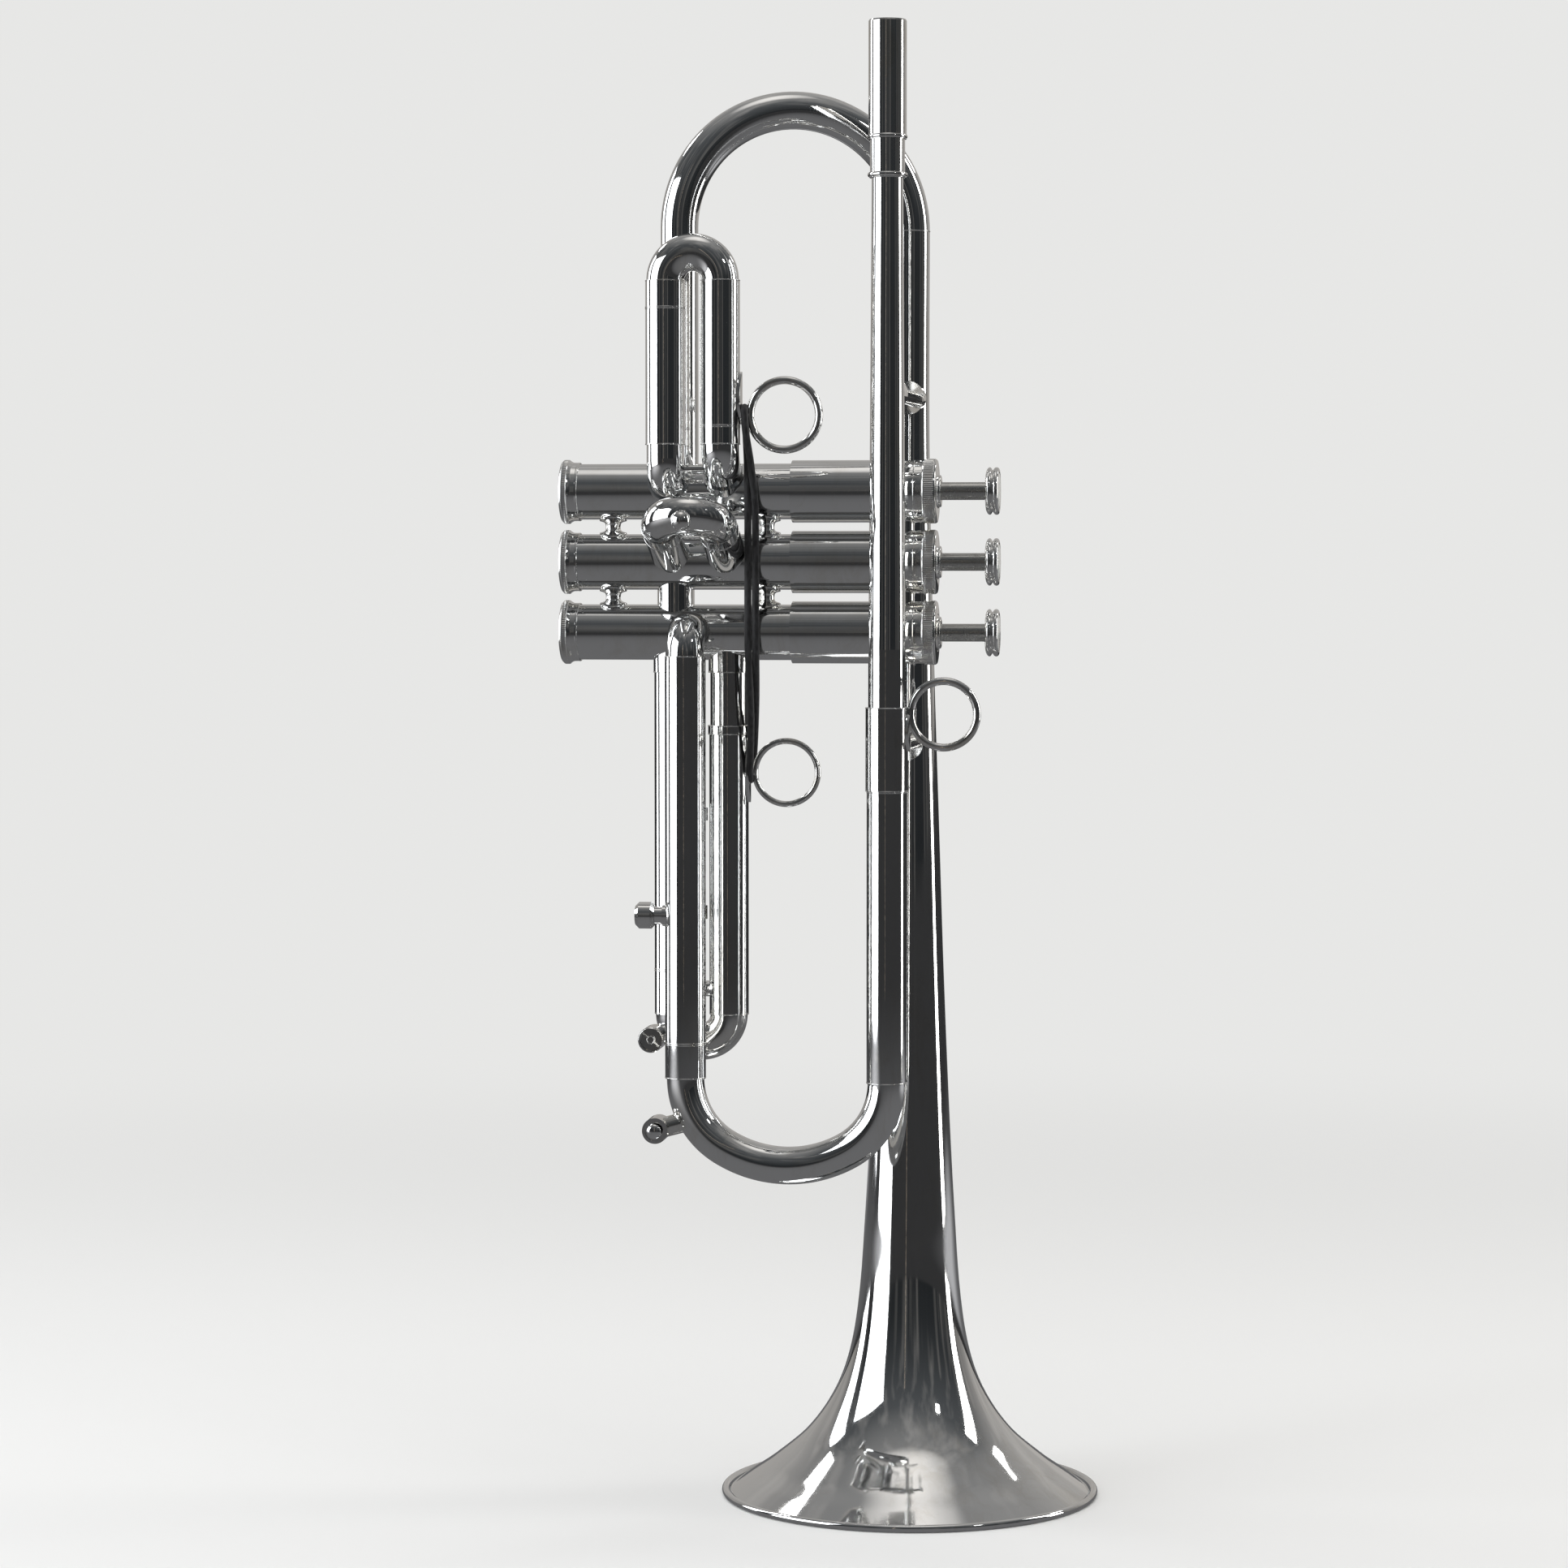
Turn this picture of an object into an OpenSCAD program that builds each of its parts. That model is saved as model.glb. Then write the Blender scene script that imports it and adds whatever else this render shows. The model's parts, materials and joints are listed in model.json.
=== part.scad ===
// Trumpet in B flat, standing on its bell.
// +Z runs up the bell's axis to the mouthpiece end, +X points to the finger buttons,
// and the leadpipe lies towards -Y. The origin is the middle of the bell's rim plane.
// All sizes are in millimetres.

/* [Bell] */
// Radius of the bell at its rim
bell_rim_r = 61.6; // [58:0.1:64]
// Wall of the bell
bell_wall = 0.6; // [0.5:0.05:0.8]
// Radius of the wire rolled into the rim
rim_wire_r = 1.2; // [0.9:0.05:1.4]
// Height at which the bell's tail meets the bow
tail_top_z = 420; // [410:1:425]
// Outside radius of the bell's tail and bow
tail_r = 6.15; // [6:0.05:6.3]

/* [Tubing] */
// Radius of the bore in the cylindrical tubing
bore_r = 5.83; // [5.7:0.01:5.9]
// Outside radius of the inner slide tubes
inner_tube_r = 6.1; // [6.05:0.01:6.15]
// Radial running clearance of the slides
slide_gap = 0.05; // [0.02:0.01:0.09]
// Outside radius of the outer slide tubes
outer_tube_r = 6.45; // [6.4:0.05:6.6]
// Outside radius of the main slide's lower outer tube
main_outer_r = 6.65; // [6.5:0.05:6.8]
// Radius of a ferrule
ferrule_r = 6.85; // [6.7:0.05:7]
// Outside radius of crooks, knuckles and bows
crook_r = 6.1; // [6:0.05:6.2]

/* [Valves] */
// Height of the first valve's axis
valve_1_z = 334; // [332:1:336]
// Distance between neighbouring valves
valve_pitch = 23; // [22.8:0.1:23.4]
// Distance of the valves behind the bell's axis
valve_y = -25; // [-25.5:0.1:-24.5]
// Radius of the bore of a valve casing
casing_bore_r = 8.45; // [8.4:0.01:8.5]
// Outside radius of the lower casing
casing_r = 9.1; // [9:0.05:9.3]
// Outside radius of the upper casing
upper_casing_r = 10.15; // [9.9:0.05:10.3]
// Radial running clearance of a piston
piston_gap = 0.04; // [0.02:0.01:0.08]
// Travel of a piston
valve_travel = 14.3; // [13:0.1:14.3]
// Radius of a finger button
button_r = 7.75; // [7:0.05:8]

/* [Leadpipe] */
// Place of the leadpipe's axis along X
leadpipe_x = -3; // [-4:0.5:-2]
// Place of the leadpipe's axis along Y
leadpipe_y = -50; // [-51:0.5:-49]
// Height of the receiver's mouth
receiver_top_z = 483.3; // [480:0.1:486]
// Radius of the mouthpiece socket at its mouth
socket_r = 5.53; // [5.5:0.01:5.6]
// Depth of the mouthpiece socket
socket_depth = 25; // [23:0.5:27]

/* [Slides] */
// Distance between the two legs of a valve slide
leg_pitch = 18.2; // [18:0.1:18.4]
// Place of the valve slides' left legs along X
left_leg_x = -75.7; // [-76:0.1:-75]
// Distance of the first slide behind the bell's axis
first_slide_y = -40; // [-41:0.1:-39.5]
// Upward tilt of the second slide
second_slide_tilt = 22; // [20:1:24]
// Place of the main slide's lower leg along X
main_leg_x = -69.4; // [-70:0.1:-69]
// Distance of the main slide's lower leg behind the bell's axis
main_leg_y = -43; // [-43.5:0.1:-42.5]
// Height at which the main slide's bow begins
main_bow_z = 143.2; // [142:0.1:145]

/* [Hidden] */
$fn = 72;

// Overrun of a cutting tool past the wall that it cuts
cut = 1;
silver = [0.86, 0.87, 0.88];
bright = [0.93, 0.94, 0.95];
pearl = [0.93, 0.91, 0.86];
steel = [0.6, 0.6, 0.62];
brass = [0.8, 0.68, 0.38];

// Outline of the bell's outside: height and radius at each station
bell_stations = [
    [0, bell_rim_r], [5, 54.4], [11, 45.8], [21, 34.2], [34, 25.2], [48, 20], [67, 16.9],
    [93, 15], [126, 13.2], [173, 11.2], [224, 9.5], [280, 7.7], [350, tail_r], [tail_top_z, tail_r]
];
station_steps = 5;
last_station = len(bell_stations) - 1;
function station(i) = bell_stations[min(max(i, 0), last_station)];
function slope(i) =
    (station(i + 1)[1] - station(i - 1)[1]) / (station(i + 1)[0] - station(i - 1)[0]);
// Radius between stations i and i + 1 at the fraction t, by a cubic with matching slopes
function flare(i, t) =
    let (h = station(i + 1)[0] - station(i)[0])
    (2 * t ^ 3 - 3 * t ^ 2 + 1) * station(i)[1] + (t ^ 3 - 2 * t ^ 2 + t) * h * slope(i)
    + (3 * t ^ 2 - 2 * t ^ 3) * station(i + 1)[1] + (t ^ 3 - t ^ 2) * h * slope(i + 1);
bell_outside = [
    for (i = [0 : last_station - 1], k = [0 : station_steps - 1])
        let (t = k / station_steps)
        [flare(i, t), station(i)[0] * (1 - t) + station(i + 1)[0] * t],
    [tail_r, tail_top_z]
];
// Height of the rim wire's middle, so that it has a narrow flat to stand on
rim_wire_z = rim_wire_r - 0.1;

bow_span = norm([left_leg_x + 2, valve_y]);
bow_angle = atan2(valve_y, left_leg_x + 2);
bell_leg_x = left_leg_x + 2;

right_leg_x = left_leg_x + leg_pitch;
leg_mid_x = (left_leg_x + right_leg_x) / 2;
sleeve_bore_r = inner_tube_r + slide_gap;
crook_bore_r = crook_r - 0.45;
function valve_z(n) = valve_1_z - valve_pitch * (n - 1);

// Places along the valves' axis
casing_bottom_x = -110.8;
bottom_cap_x = -112.5;
bottom_cap_rim_x = -106.5;
casing_step_x = -36.4;
casing_shoulder_x = 3.6;
casing_top_x = 8;
top_cap_x = 11;
top_collar_x = 12.3;
thread_r = 9.6;
cap_r = 10.5;
cap_gap = 0.05;
collar_r = 5;
stem_r = 2.9;
stem_hole_r = 3;
piston_bottom_x = -94;
piston_top_x = -36;
barrel_top_x = 4.5;
barrel_r = 8;
barrel_wall = 0.9;
piston_wall = 1;
port_tube_wall = 0.4;
passage_r = bore_r - 1;
guide_x = -33;
guide_h = 2.5;
slot_w = 4.4;
slot_gap = 0.2;
barrel_lid_h = 2;
stem_foot_r = 2;
guide_w = 4;
button_x = 26.7;
button_h = 4.5;
inlay_r = 6;
inlay_h = 1.1;
stem_end_x = button_x + button_h - inlay_h - 0.6;
spring_r = 5.7;
spring_wire_r = 0.5;
spring_turns = 7;
spring_sides = 6;
spring_steps = 10;

// Ports of each casing: place along X and direction round the valve's axis, from +Y
crossover_12_x = leg_mid_x;
crossover_23_x = -75;
first_left_x = -76.2;
first_right_x = -58.3;
first_left_lift = 20;
first_right_lift = 35;
ports = [
    [[bell_leg_x, 90], [first_left_x, 180 - first_left_lift],
        [first_right_x, 180 - first_right_lift], [crossover_12_x, 270]],
    [[crossover_12_x, 90], [left_leg_x, 180 - second_slide_tilt],
        [right_leg_x, 180 - second_slide_tilt], [crossover_23_x, 270]],
    [[crossover_23_x, 90], [main_leg_x, 180], [left_leg_x, 270], [right_leg_x, 270]]
];

// Main slide
main_span = norm([leadpipe_x - main_leg_x, leadpipe_y - main_leg_y]);
main_angle = atan2(leadpipe_y - main_leg_y, leadpipe_x - main_leg_x);
bow_end_r = 25.5;
bow_end_sweep = 60;
// Hair gap between two arcs of the bow, in degrees
arc_seam = 0.01;
bow_mid_r = (main_span / 2 - bow_end_r * (1 - cos(bow_end_sweep))) / cos(bow_end_sweep);
main_joint_z = 154.6;
sleeve_top_z = 237.4;
ferrule_top_z = 264.2;
ferrule_mid_z = 252;
knuckle_bend_r = 7;
// Hair gap at each end of a knuckle's bend, in degrees
knuckle_seam = 0.03;
main_tube_top_z = 280.6;

// Leadpipe and receiver
leadpipe_top_z = 452;
collar_z = 433.4;
receiver_z = 445.5;
receiver_r = 6.1;
receiver_collar_r = 5.6;
leadpipe_top_r = 5.05;
leadpipe_r = 6;
leadpipe_wide_z = 283;
venturi_r = 4.37;
bead_r = 0.8;

// First slide
first_bend_r = 8;
first_left_joint_z = 393;
first_crook_z = 402;
first_tube_z = 349;
first_right_joint_z = 354.8;
first_ring_z = 358.4;
first_ring_x = -37.3;
first_ring_foot_z = 363.9;
first_ring_foot_h = 17;

// Second slide, by distance from the valve's axis
second_joint = 25.5;
second_crook = 31;
second_tube_end = 11.5;

// Third slide
third_top_z = 275;
third_joint_z = 177;
third_crook_z = 162.4;
third_sleeve_z = 257.6;
third_ring_z = 242.1;
third_ring_x = -38.5;
third_ring_foot_z = 243.4;
third_ring_foot_h = 22.2;
eyelet_z = 196;
eyelet_h = 4.4;
rod_r = 1;
rod_foot_z = 170.8;
rod_nut_z = 226.2;
nut_r = 2;
nut_h = 2.2;

// Finger rings: radius of the wire's middle line, and of the wire
first_ring_r = 11.2;
first_ring_wire_r = 1.3;
third_ring_r = 10.35;
third_ring_wire_r = 1;
pinky_ring_r = 10.65;
pinky_ring_wire_r = 1.25;
pinky_ring_x = 15.3;
pinky_ring_z = 262.2;

// Braces
brace_r = 2.4;
brace_foot_r = 4.4;
casing_brace_x = [-95.8, -44.9];
upper_brace_x = 0.5;
upper_brace_r = 3;
bell_brace_r = 2.5;
bell_brace_foot_r = 5.5;
bell_brace_z = [251, 365];
bell_foot_h = 0.9;
// How far from the bell's axis each brace's foot starts
bell_foot_from = [9.4, 7.05];

// Lyre holder and its screw
lyre_z = 196.2;
lyre_post_r = 2.9;
lyre_post_x = -79.3;
lyre_knob_x = -85.7;
lyre_knob_r = 4.35;
lyre_thread_r = 1.5;
lyre_thread_h = 2.4;

// Water keys: place of the barrel's axis, which runs along Y
water_key_r = 4.2;
water_key_l = 11;
key_pin_r = 1.5;
key_pin_gap = 0.06;
key_button_r = 2.4;
key_button_h = 1;
key_travel = 2;
key_gap = 0.1;
key_rim = 0.9;
key_recess = 0.5;
key_hole_h = 7;
key_lip = 0.35;
key_well = 1.2;
key_hub_r = 0.95;
key_hub_drop = 0.5;
key_neck_r = 3.3;
main_key_lean = 75;
main_key_neck_h = 9;
third_key_lean = 65;
third_key_neck_h = 6;
third_key = [-82.6, -32.5, 154.2];
main_key = [-78.6, -49.5, 126.5];

// A tube of height h up from the origin
module tube(h, outer, inner) {
    difference() {
        cylinder(h = h, r = outer);
        translate([0, 0, -cut]) cylinder(h = h + 2 * cut, r = inner);
    }
}

// A tube bent round the origin from +X, in the XY plane
module bend(radius, sweep, outer, inner) {
    rotate_extrude(angle = sweep) translate([radius, 0]) difference() {
        circle(r = outer);
        circle(r = inner);
    }
}

// A rod bent round the origin from +X, in the XY plane
module rod_bend(radius, sweep, rod) {
    rotate_extrude(angle = sweep) translate([radius, 0]) circle(r = rod);
}

// Turns +Z into +X, for what lies along a valve
module along_x() {
    rotate([90, 0, 90]) children();
}

// Places children on the axis of valve n, with +Z turned into +X
module on_valve(n) {
    translate([0, valve_y, valve_z(n)]) along_x() children();
}

// The space that a casing takes, with its step
module casing_space(n) {
    on_valve(n) {
        translate([0, 0, casing_bottom_x]) cylinder(h = casing_step_x - casing_bottom_x, r = casing_r);
        translate([0, 0, casing_step_x])
            cylinder(h = casing_shoulder_x - casing_step_x, r = upper_casing_r);
    }
}

// A half-round crook between two legs, rising from the XY plane
module crook(pitch) {
    rotate([90, 0, 0]) bend(pitch / 2, 180, crook_r, crook_bore_r);
}

// A finger ring with its axis along Y
module finger_ring(radius, wire_r) {
    rotate([90, 0, 0]) rotate_extrude() translate([radius, 0]) circle(r = wire_r);
}

// A curved foot plate on the +X side of an upright tube
module ring_foot(tube_r, thickness, width, height) {
    intersection() {
        translate([0, 0, -height / 2]) tube(height, tube_r + thickness, tube_r);
        rotate([0, 90, 0]) lens(height / 2, width / 2, tube_r + 2 * thickness);
    }
}

// A lens with half lengths a and b, cut from two equal discs, h high
module lens(a, b, h) {
    lens_r = (a * a + b * b) / (2 * b);
    intersection() {
        translate([0, b - lens_r, 0]) cylinder(h = h, r = lens_r, $fn = 144);
        translate([0, lens_r - b, 0]) cylinder(h = h, r = lens_r, $fn = 144);
    }
}

// Bell, its rim wire and its bow
module bell_profile() {
    inside = [for (p = bell_outside) [p[0] - bell_wall, p[1]]];
    polygon(concat(bell_outside, [for (i = [len(inside) - 1 : -1 : 0]) inside[i]]));
}

module bell() {
    color(silver) rotate_extrude() difference() {
        bell_profile();
        translate([bell_rim_r, rim_wire_z]) circle(r = rim_wire_r);
        translate([0, -cut]) square([bell_rim_r + cut, cut]);
    }
}

module bell_rim_wire() {
    color(bright) rotate_extrude() intersection() {
        translate([bell_rim_r, rim_wire_z]) circle(r = rim_wire_r);
        translate([bell_rim_r - 2 * rim_wire_r, 0]) square(4 * rim_wire_r);
    }
}

module bell_bow() {
    color(silver) {
        rotate([0, 0, bow_angle]) translate([bow_span / 2, 0, tail_top_z]) rotate([90, 0, 0])
            bend(bow_span / 2, 180, tail_r, tail_r - bell_wall);
        difference() {
            translate([bell_leg_x, valve_y, valve_1_z])
                tube(tail_top_z - valve_1_z, tail_r, tail_r - bell_wall);
            casing_space(1);
        }
    }
}

module bell_braces() {
    angle = atan2(-leadpipe_y, -leadpipe_x);
    length = norm([leadpipe_x, leadpipe_y]);
    for (i = [0, 1]) let (z = bell_brace_z[i]) color(silver) difference() {
        translate([leadpipe_x, leadpipe_y, z]) rotate([0, 0, angle]) rotate([0, 90, 0]) {
            cylinder(h = length, r = bell_brace_r);
            cylinder(h = ferrule_r + bell_foot_h, r = bell_brace_foot_r);
            translate([0, 0, length - bell_foot_from[i]])
                cylinder(h = bell_foot_from[i], r = bell_brace_foot_r);
        }
        rotate_extrude() polygon(concat([[0, 0]], bell_outside, [[0, tail_top_z]]));
        translate([leadpipe_x, leadpipe_y, ferrule_mid_z])
            cylinder(h = ferrule_top_z - ferrule_mid_z, r = ferrule_r);
        translate([leadpipe_x, leadpipe_y, sleeve_top_z])
            cylinder(h = ferrule_top_z - sleeve_top_z, r = ferrule_r);
        leadpipe_space();
    }
}

module leadpipe_space() {
    translate([leadpipe_x, leadpipe_y, 0]) rotate_extrude() polygon([
        [0, ferrule_mid_z], [leadpipe_r, ferrule_mid_z], [leadpipe_r, leadpipe_wide_z],
        [leadpipe_top_r, collar_z], [leadpipe_top_r, leadpipe_top_z], [0, leadpipe_top_z]
    ]);
}

// Mouthpiece receiver, leadpipe and the fixed tube of the main slide's upper leg
module mouthpiece_receiver() {
    socket_end_r = socket_r - socket_depth / 40;
    socket_end_z = receiver_top_z - socket_depth;
    rounding = 0.5;
    color(bright) translate([leadpipe_x, leadpipe_y, 0]) rotate_extrude() {
        polygon([
            [leadpipe_top_r, collar_z], [receiver_collar_r, collar_z],
            [receiver_collar_r, receiver_z], [receiver_r, receiver_z],
            [receiver_r, receiver_top_z - rounding], [receiver_r - rounding / 2, receiver_top_z],
            [socket_r, receiver_top_z], [socket_end_r, socket_end_z],
            [socket_end_r, leadpipe_top_z], [leadpipe_top_r, leadpipe_top_z]
        ]);
        for (z = [collar_z, receiver_z]) translate([receiver_collar_r, z + bead_r]) intersection() {
            circle(r = bead_r);
            translate([0, -bead_r]) square(2 * bead_r);
        }
    }
}

module leadpipe() {
    color(silver) difference() {
        leadpipe_space();
        translate([leadpipe_x, leadpipe_y, 0]) rotate_extrude() polygon([
            [0, ferrule_mid_z - cut], [bore_r - 0.2, ferrule_mid_z - cut],
            [venturi_r, leadpipe_top_z + cut], [0, leadpipe_top_z + cut]
        ]);
    }
}

module leadpipe_ferrule() {
    color(bright) translate([leadpipe_x, leadpipe_y, 0]) difference() {
        translate([0, 0, sleeve_top_z]) cylinder(h = ferrule_top_z - sleeve_top_z, r = ferrule_r);
        translate([0, 0, ferrule_mid_z]) cylinder(h = ferrule_top_z, r = leadpipe_r);
        translate([0, 0, sleeve_top_z - cut])
            cylinder(h = ferrule_mid_z - sleeve_top_z + cut, r = inner_tube_r);
    }
}

module leadpipe_slide_tube() {
    tube_end_z = 152;
    color(silver) translate([leadpipe_x, leadpipe_y, tube_end_z])
        tube(ferrule_mid_z - tube_end_z, inner_tube_r, bore_r);
}

module pinky_ring() {
    foot_w = 6;
    foot_h = 13;
    foot_t = 0.8;
    foot_drop = 1;
    color(bright) {
        difference() {
            translate([pinky_ring_x, leadpipe_y, pinky_ring_z])
                finger_ring(pinky_ring_r, pinky_ring_wire_r);
            translate([leadpipe_x, leadpipe_y, sleeve_top_z])
                cylinder(h = ferrule_top_z - sleeve_top_z, r = ferrule_r);
        }
        translate([leadpipe_x, leadpipe_y, ferrule_top_z - foot_drop - foot_h / 2])
            ring_foot(ferrule_r, foot_t, foot_w, foot_h);
    }
}

// Valve casings, their braces, tubes and caps
module valve_casing(n) {
    color(silver) difference() {
        union() {
            casing_space(n);
            on_valve(n) translate([0, 0, casing_shoulder_x])
                cylinder(h = casing_top_x - casing_shoulder_x, r = thread_r);
        }
        on_valve(n) translate([0, 0, casing_bottom_x - cut])
            cylinder(h = casing_top_x - casing_bottom_x + 2 * cut, r = casing_bore_r);
        for (port = ports[n - 1])
            on_valve(n) translate([0, 0, port[0]]) rotate([0, 0, port[1]]) rotate([0, 90, 0])
                cylinder(h = casing_r + cut, r = bore_r);
    }
}

module valve_casing_1() { valve_casing(1); }
module valve_casing_2() { valve_casing(2); }
module valve_casing_3() { valve_casing(3); }

module casing_braces() {
    foot_h = 0.7;
    color(bright) for (n = [1, 2]) difference() {
        translate([0, valve_y, valve_z(n + 1)]) {
            for (x = casing_brace_x) translate([x, 0, 0]) {
                cylinder(h = valve_pitch, r = brace_r);
                cylinder(h = casing_r + foot_h, r = brace_foot_r);
                translate([0, 0, valve_pitch - casing_r - foot_h])
                    cylinder(h = casing_r + foot_h, r = brace_foot_r);
            }
            translate([upper_brace_x, 0, 0]) cylinder(h = valve_pitch, r = upper_brace_r);
        }
        casing_space(n);
        casing_space(n + 1);
    }
}

module crossover_tubes() {
    places = [crossover_12_x, crossover_23_x];
    color(silver) for (n = [1, 2]) difference() {
        translate([places[n - 1], valve_y, valve_z(n + 1)]) tube(valve_pitch, crook_r, bore_r);
        casing_space(n);
        casing_space(n + 1);
    }
}

module top_caps() {
    chamfer = 0.6;
    band_h = 3;
    fillet = 1;
    step_r = cap_r - chamfer / 2;
    color(bright) for (n = [1 : 3]) on_valve(n) rotate_extrude() polygon([
        [stem_hole_r, casing_top_x], [thread_r + cap_gap, casing_top_x],
        [thread_r + cap_gap, casing_shoulder_x], [step_r, casing_shoulder_x],
        [step_r, casing_shoulder_x + band_h], [cap_r, casing_shoulder_x + band_h],
        [cap_r, top_cap_x - chamfer], [cap_r - chamfer, top_cap_x],
        [collar_r + fillet, top_cap_x + chamfer / 2], [collar_r, top_cap_x + chamfer],
        [collar_r, top_collar_x], [stem_hole_r, top_collar_x]
    ]);
}

module bottom_caps() {
    chamfer = 0.8;
    band_h = 2.3;
    slope_h = 1.4;
    skirt_r = 9.6;
    vent_r = 1.5;
    color(bright) for (n = [1 : 3]) on_valve(n) rotate_extrude() polygon([
        [vent_r, bottom_cap_x], [cap_r - chamfer, bottom_cap_x], [cap_r, bottom_cap_x + chamfer],
        [cap_r, bottom_cap_x + band_h], [skirt_r, bottom_cap_x + band_h + slope_h],
        [skirt_r, bottom_cap_rim_x],
        [casing_r + cap_gap, bottom_cap_rim_x], [casing_r + cap_gap, casing_bottom_x],
        [vent_r, casing_bottom_x]
    ]);
}

module valve_guides() {
    vent_r = 2;
    hub_gap = 0.2;
    color(brass) for (n = [1 : 3]) on_valve(n) translate([0, 0, guide_x]) difference() {
        union() {
            cylinder(h = guide_h, r = barrel_r - barrel_wall - hub_gap);
            intersection() {
                cylinder(h = guide_h, r = casing_bore_r);
                translate([-guide_w / 2, -casing_r, 0]) cube([guide_w, 2 * casing_r, guide_h]);
            }
        }
        translate([0, 0, -cut]) cylinder(h = guide_h + 2 * cut, r = vent_r);
    }
}

// A knuckle from a valve's axis at the origin, out towards -Y at an angle of lift, then up
// to the height top, in the plane across the valve
module knuckle(reach, lift, bend_r, top) {
    turn = 90 - lift;
    tangent = bend_r * tan(turn / 2);
    start_z = reach * tan(lift) + tangent;
    translate([-reach + bend_r, start_z, 0]) rotate([0, 0, 180 + knuckle_seam])
        bend(bend_r, turn - 2 * knuckle_seam, crook_r, bore_r);
    rotate([0, 0, 180 - lift]) rotate([0, 90, 0]) tube(reach / cos(lift) - tangent, crook_r, bore_r);
    translate([-reach, start_z, 0]) rotate([-90, 0, 0]) tube(top - start_z, crook_r, bore_r);
}

// The flange that a knuckle stands on, lying on its casing
module knuckle_foot(lift) {
    foot_r = crook_r + 0.7;
    foot_h = 0.7;
    rotate([0, 0, 180 - lift]) rotate([0, 90, 0]) tube(casing_r + foot_h, foot_r, bore_r);
}

module valve_knuckles() {
    first_reach = valve_y - first_slide_y;
    main_reach = valve_y - main_leg_y;
    stub_r = 6.7;
    bow_gap = 0.05;
    color(silver) {
        difference() {
            union() {
                translate([first_left_x, valve_y, valve_z(1)]) along_x() {
                    knuckle(first_reach, first_left_lift, knuckle_bend_r, first_tube_z - valve_z(1));
                    knuckle_foot(first_left_lift);
                }
                translate([first_right_x, valve_y, valve_z(1)]) along_x() {
                    knuckle(first_reach, first_right_lift, first_bend_r, first_tube_z - valve_z(1));
                    knuckle_foot(first_right_lift);
                }
            }
            casing_space(1);
            translate([bell_leg_x, valve_y, valve_z(1)])
                cylinder(h = knuckle_bend_r + crook_r, r = tail_r + bow_gap);
        }
        difference() {
            translate([main_leg_x, valve_y, valve_z(3)]) along_x() mirror([0, 1, 0]) {
                knuckle(main_reach, 0, knuckle_bend_r, valve_z(3) - main_tube_top_z);
                knuckle_foot(0);
            }
            casing_space(3);
        }
        difference() {
            for (x = [left_leg_x, right_leg_x]) translate([x, valve_y, third_top_z])
                tube(valve_z(3) - third_top_z, stub_r, bore_r);
            casing_space(3);
        }
    }
}

// Braces between the fixed legs of the first, second and third slides
module slide_braces() {
    first_brace_y = -38.5;
    first_brace_z = 341;
    brace_wire_r = 1.5;
    second_brace = 19;
    // The knuckles' own lines where the brace meets them
    left_line_y = -39.14;
    left_line_lean = 28.7;
    solder_gap = 0.06;
    cut_h = 2 * leg_pitch;
    color(bright) {
        difference() {
            translate([first_left_x, first_brace_y, first_brace_z]) rotate([0, 90, 0])
                cylinder(h = first_right_x - first_left_x, r = brace_wire_r);
            translate([first_left_x, left_line_y, first_brace_z]) rotate([left_line_lean, 0, 0])
                cylinder(h = cut_h, r = crook_r + solder_gap, center = true);
            translate([first_right_x, valve_y, valve_z(1)]) rotate([90 - first_right_lift, 0, 0])
                cylinder(h = cut_h, r = crook_r + solder_gap);
        }
        difference() {
            second_slide_frame() translate([left_leg_x, 0, second_brace]) rotate([0, 90, 0])
                cylinder(h = leg_pitch, r = brace_wire_r);
            second_slide_frame() for (x = [left_leg_x, right_leg_x]) translate([x, 0, 0])
                cylinder(h = second_crook, r = outer_tube_r);
        }
    }
}

// First slide's fixed tubes
module first_slide_outer_tube() {
    color(silver) translate([first_left_x, first_slide_y, first_tube_z])
        tube(first_left_joint_z - first_tube_z, outer_tube_r, sleeve_bore_r);
}

module first_slide_fixed_tube() {
    tube_end_z = 397;
    color(silver) translate([first_right_x, first_slide_y, 0]) {
        translate([0, 0, first_tube_z]) tube(tube_end_z - first_tube_z, inner_tube_r, bore_r);
        translate([0, 0, first_tube_z])
            tube(first_right_joint_z - first_tube_z, outer_tube_r, inner_tube_r);
    }
}

// The second slide's frame: +Z runs out along the slide from the valve's axis
module second_slide_frame() {
    translate([0, valve_y, valve_z(2)]) rotate([90 - second_slide_tilt, 0, 0]) children();
}

module second_slide_outer_tubes() {
    color(silver) difference() {
        second_slide_frame() for (x = [left_leg_x, right_leg_x]) translate([x, 0, 0])
            tube(second_joint, outer_tube_r, sleeve_bore_r);
        casing_space(2);
    }
}

// Third slide's fixed tubes and the eyelet that guides its stop rod
module third_slide_outer_tube() {
    color(silver) translate([left_leg_x, valve_y, third_joint_z])
        tube(third_top_z - third_joint_z, outer_tube_r, sleeve_bore_r);
}

module third_slide_fixed_tube() {
    tube_end_z = 168;
    color(silver) translate([right_leg_x, valve_y, tube_end_z])
        tube(third_top_z - tube_end_z, inner_tube_r, bore_r);
}

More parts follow.
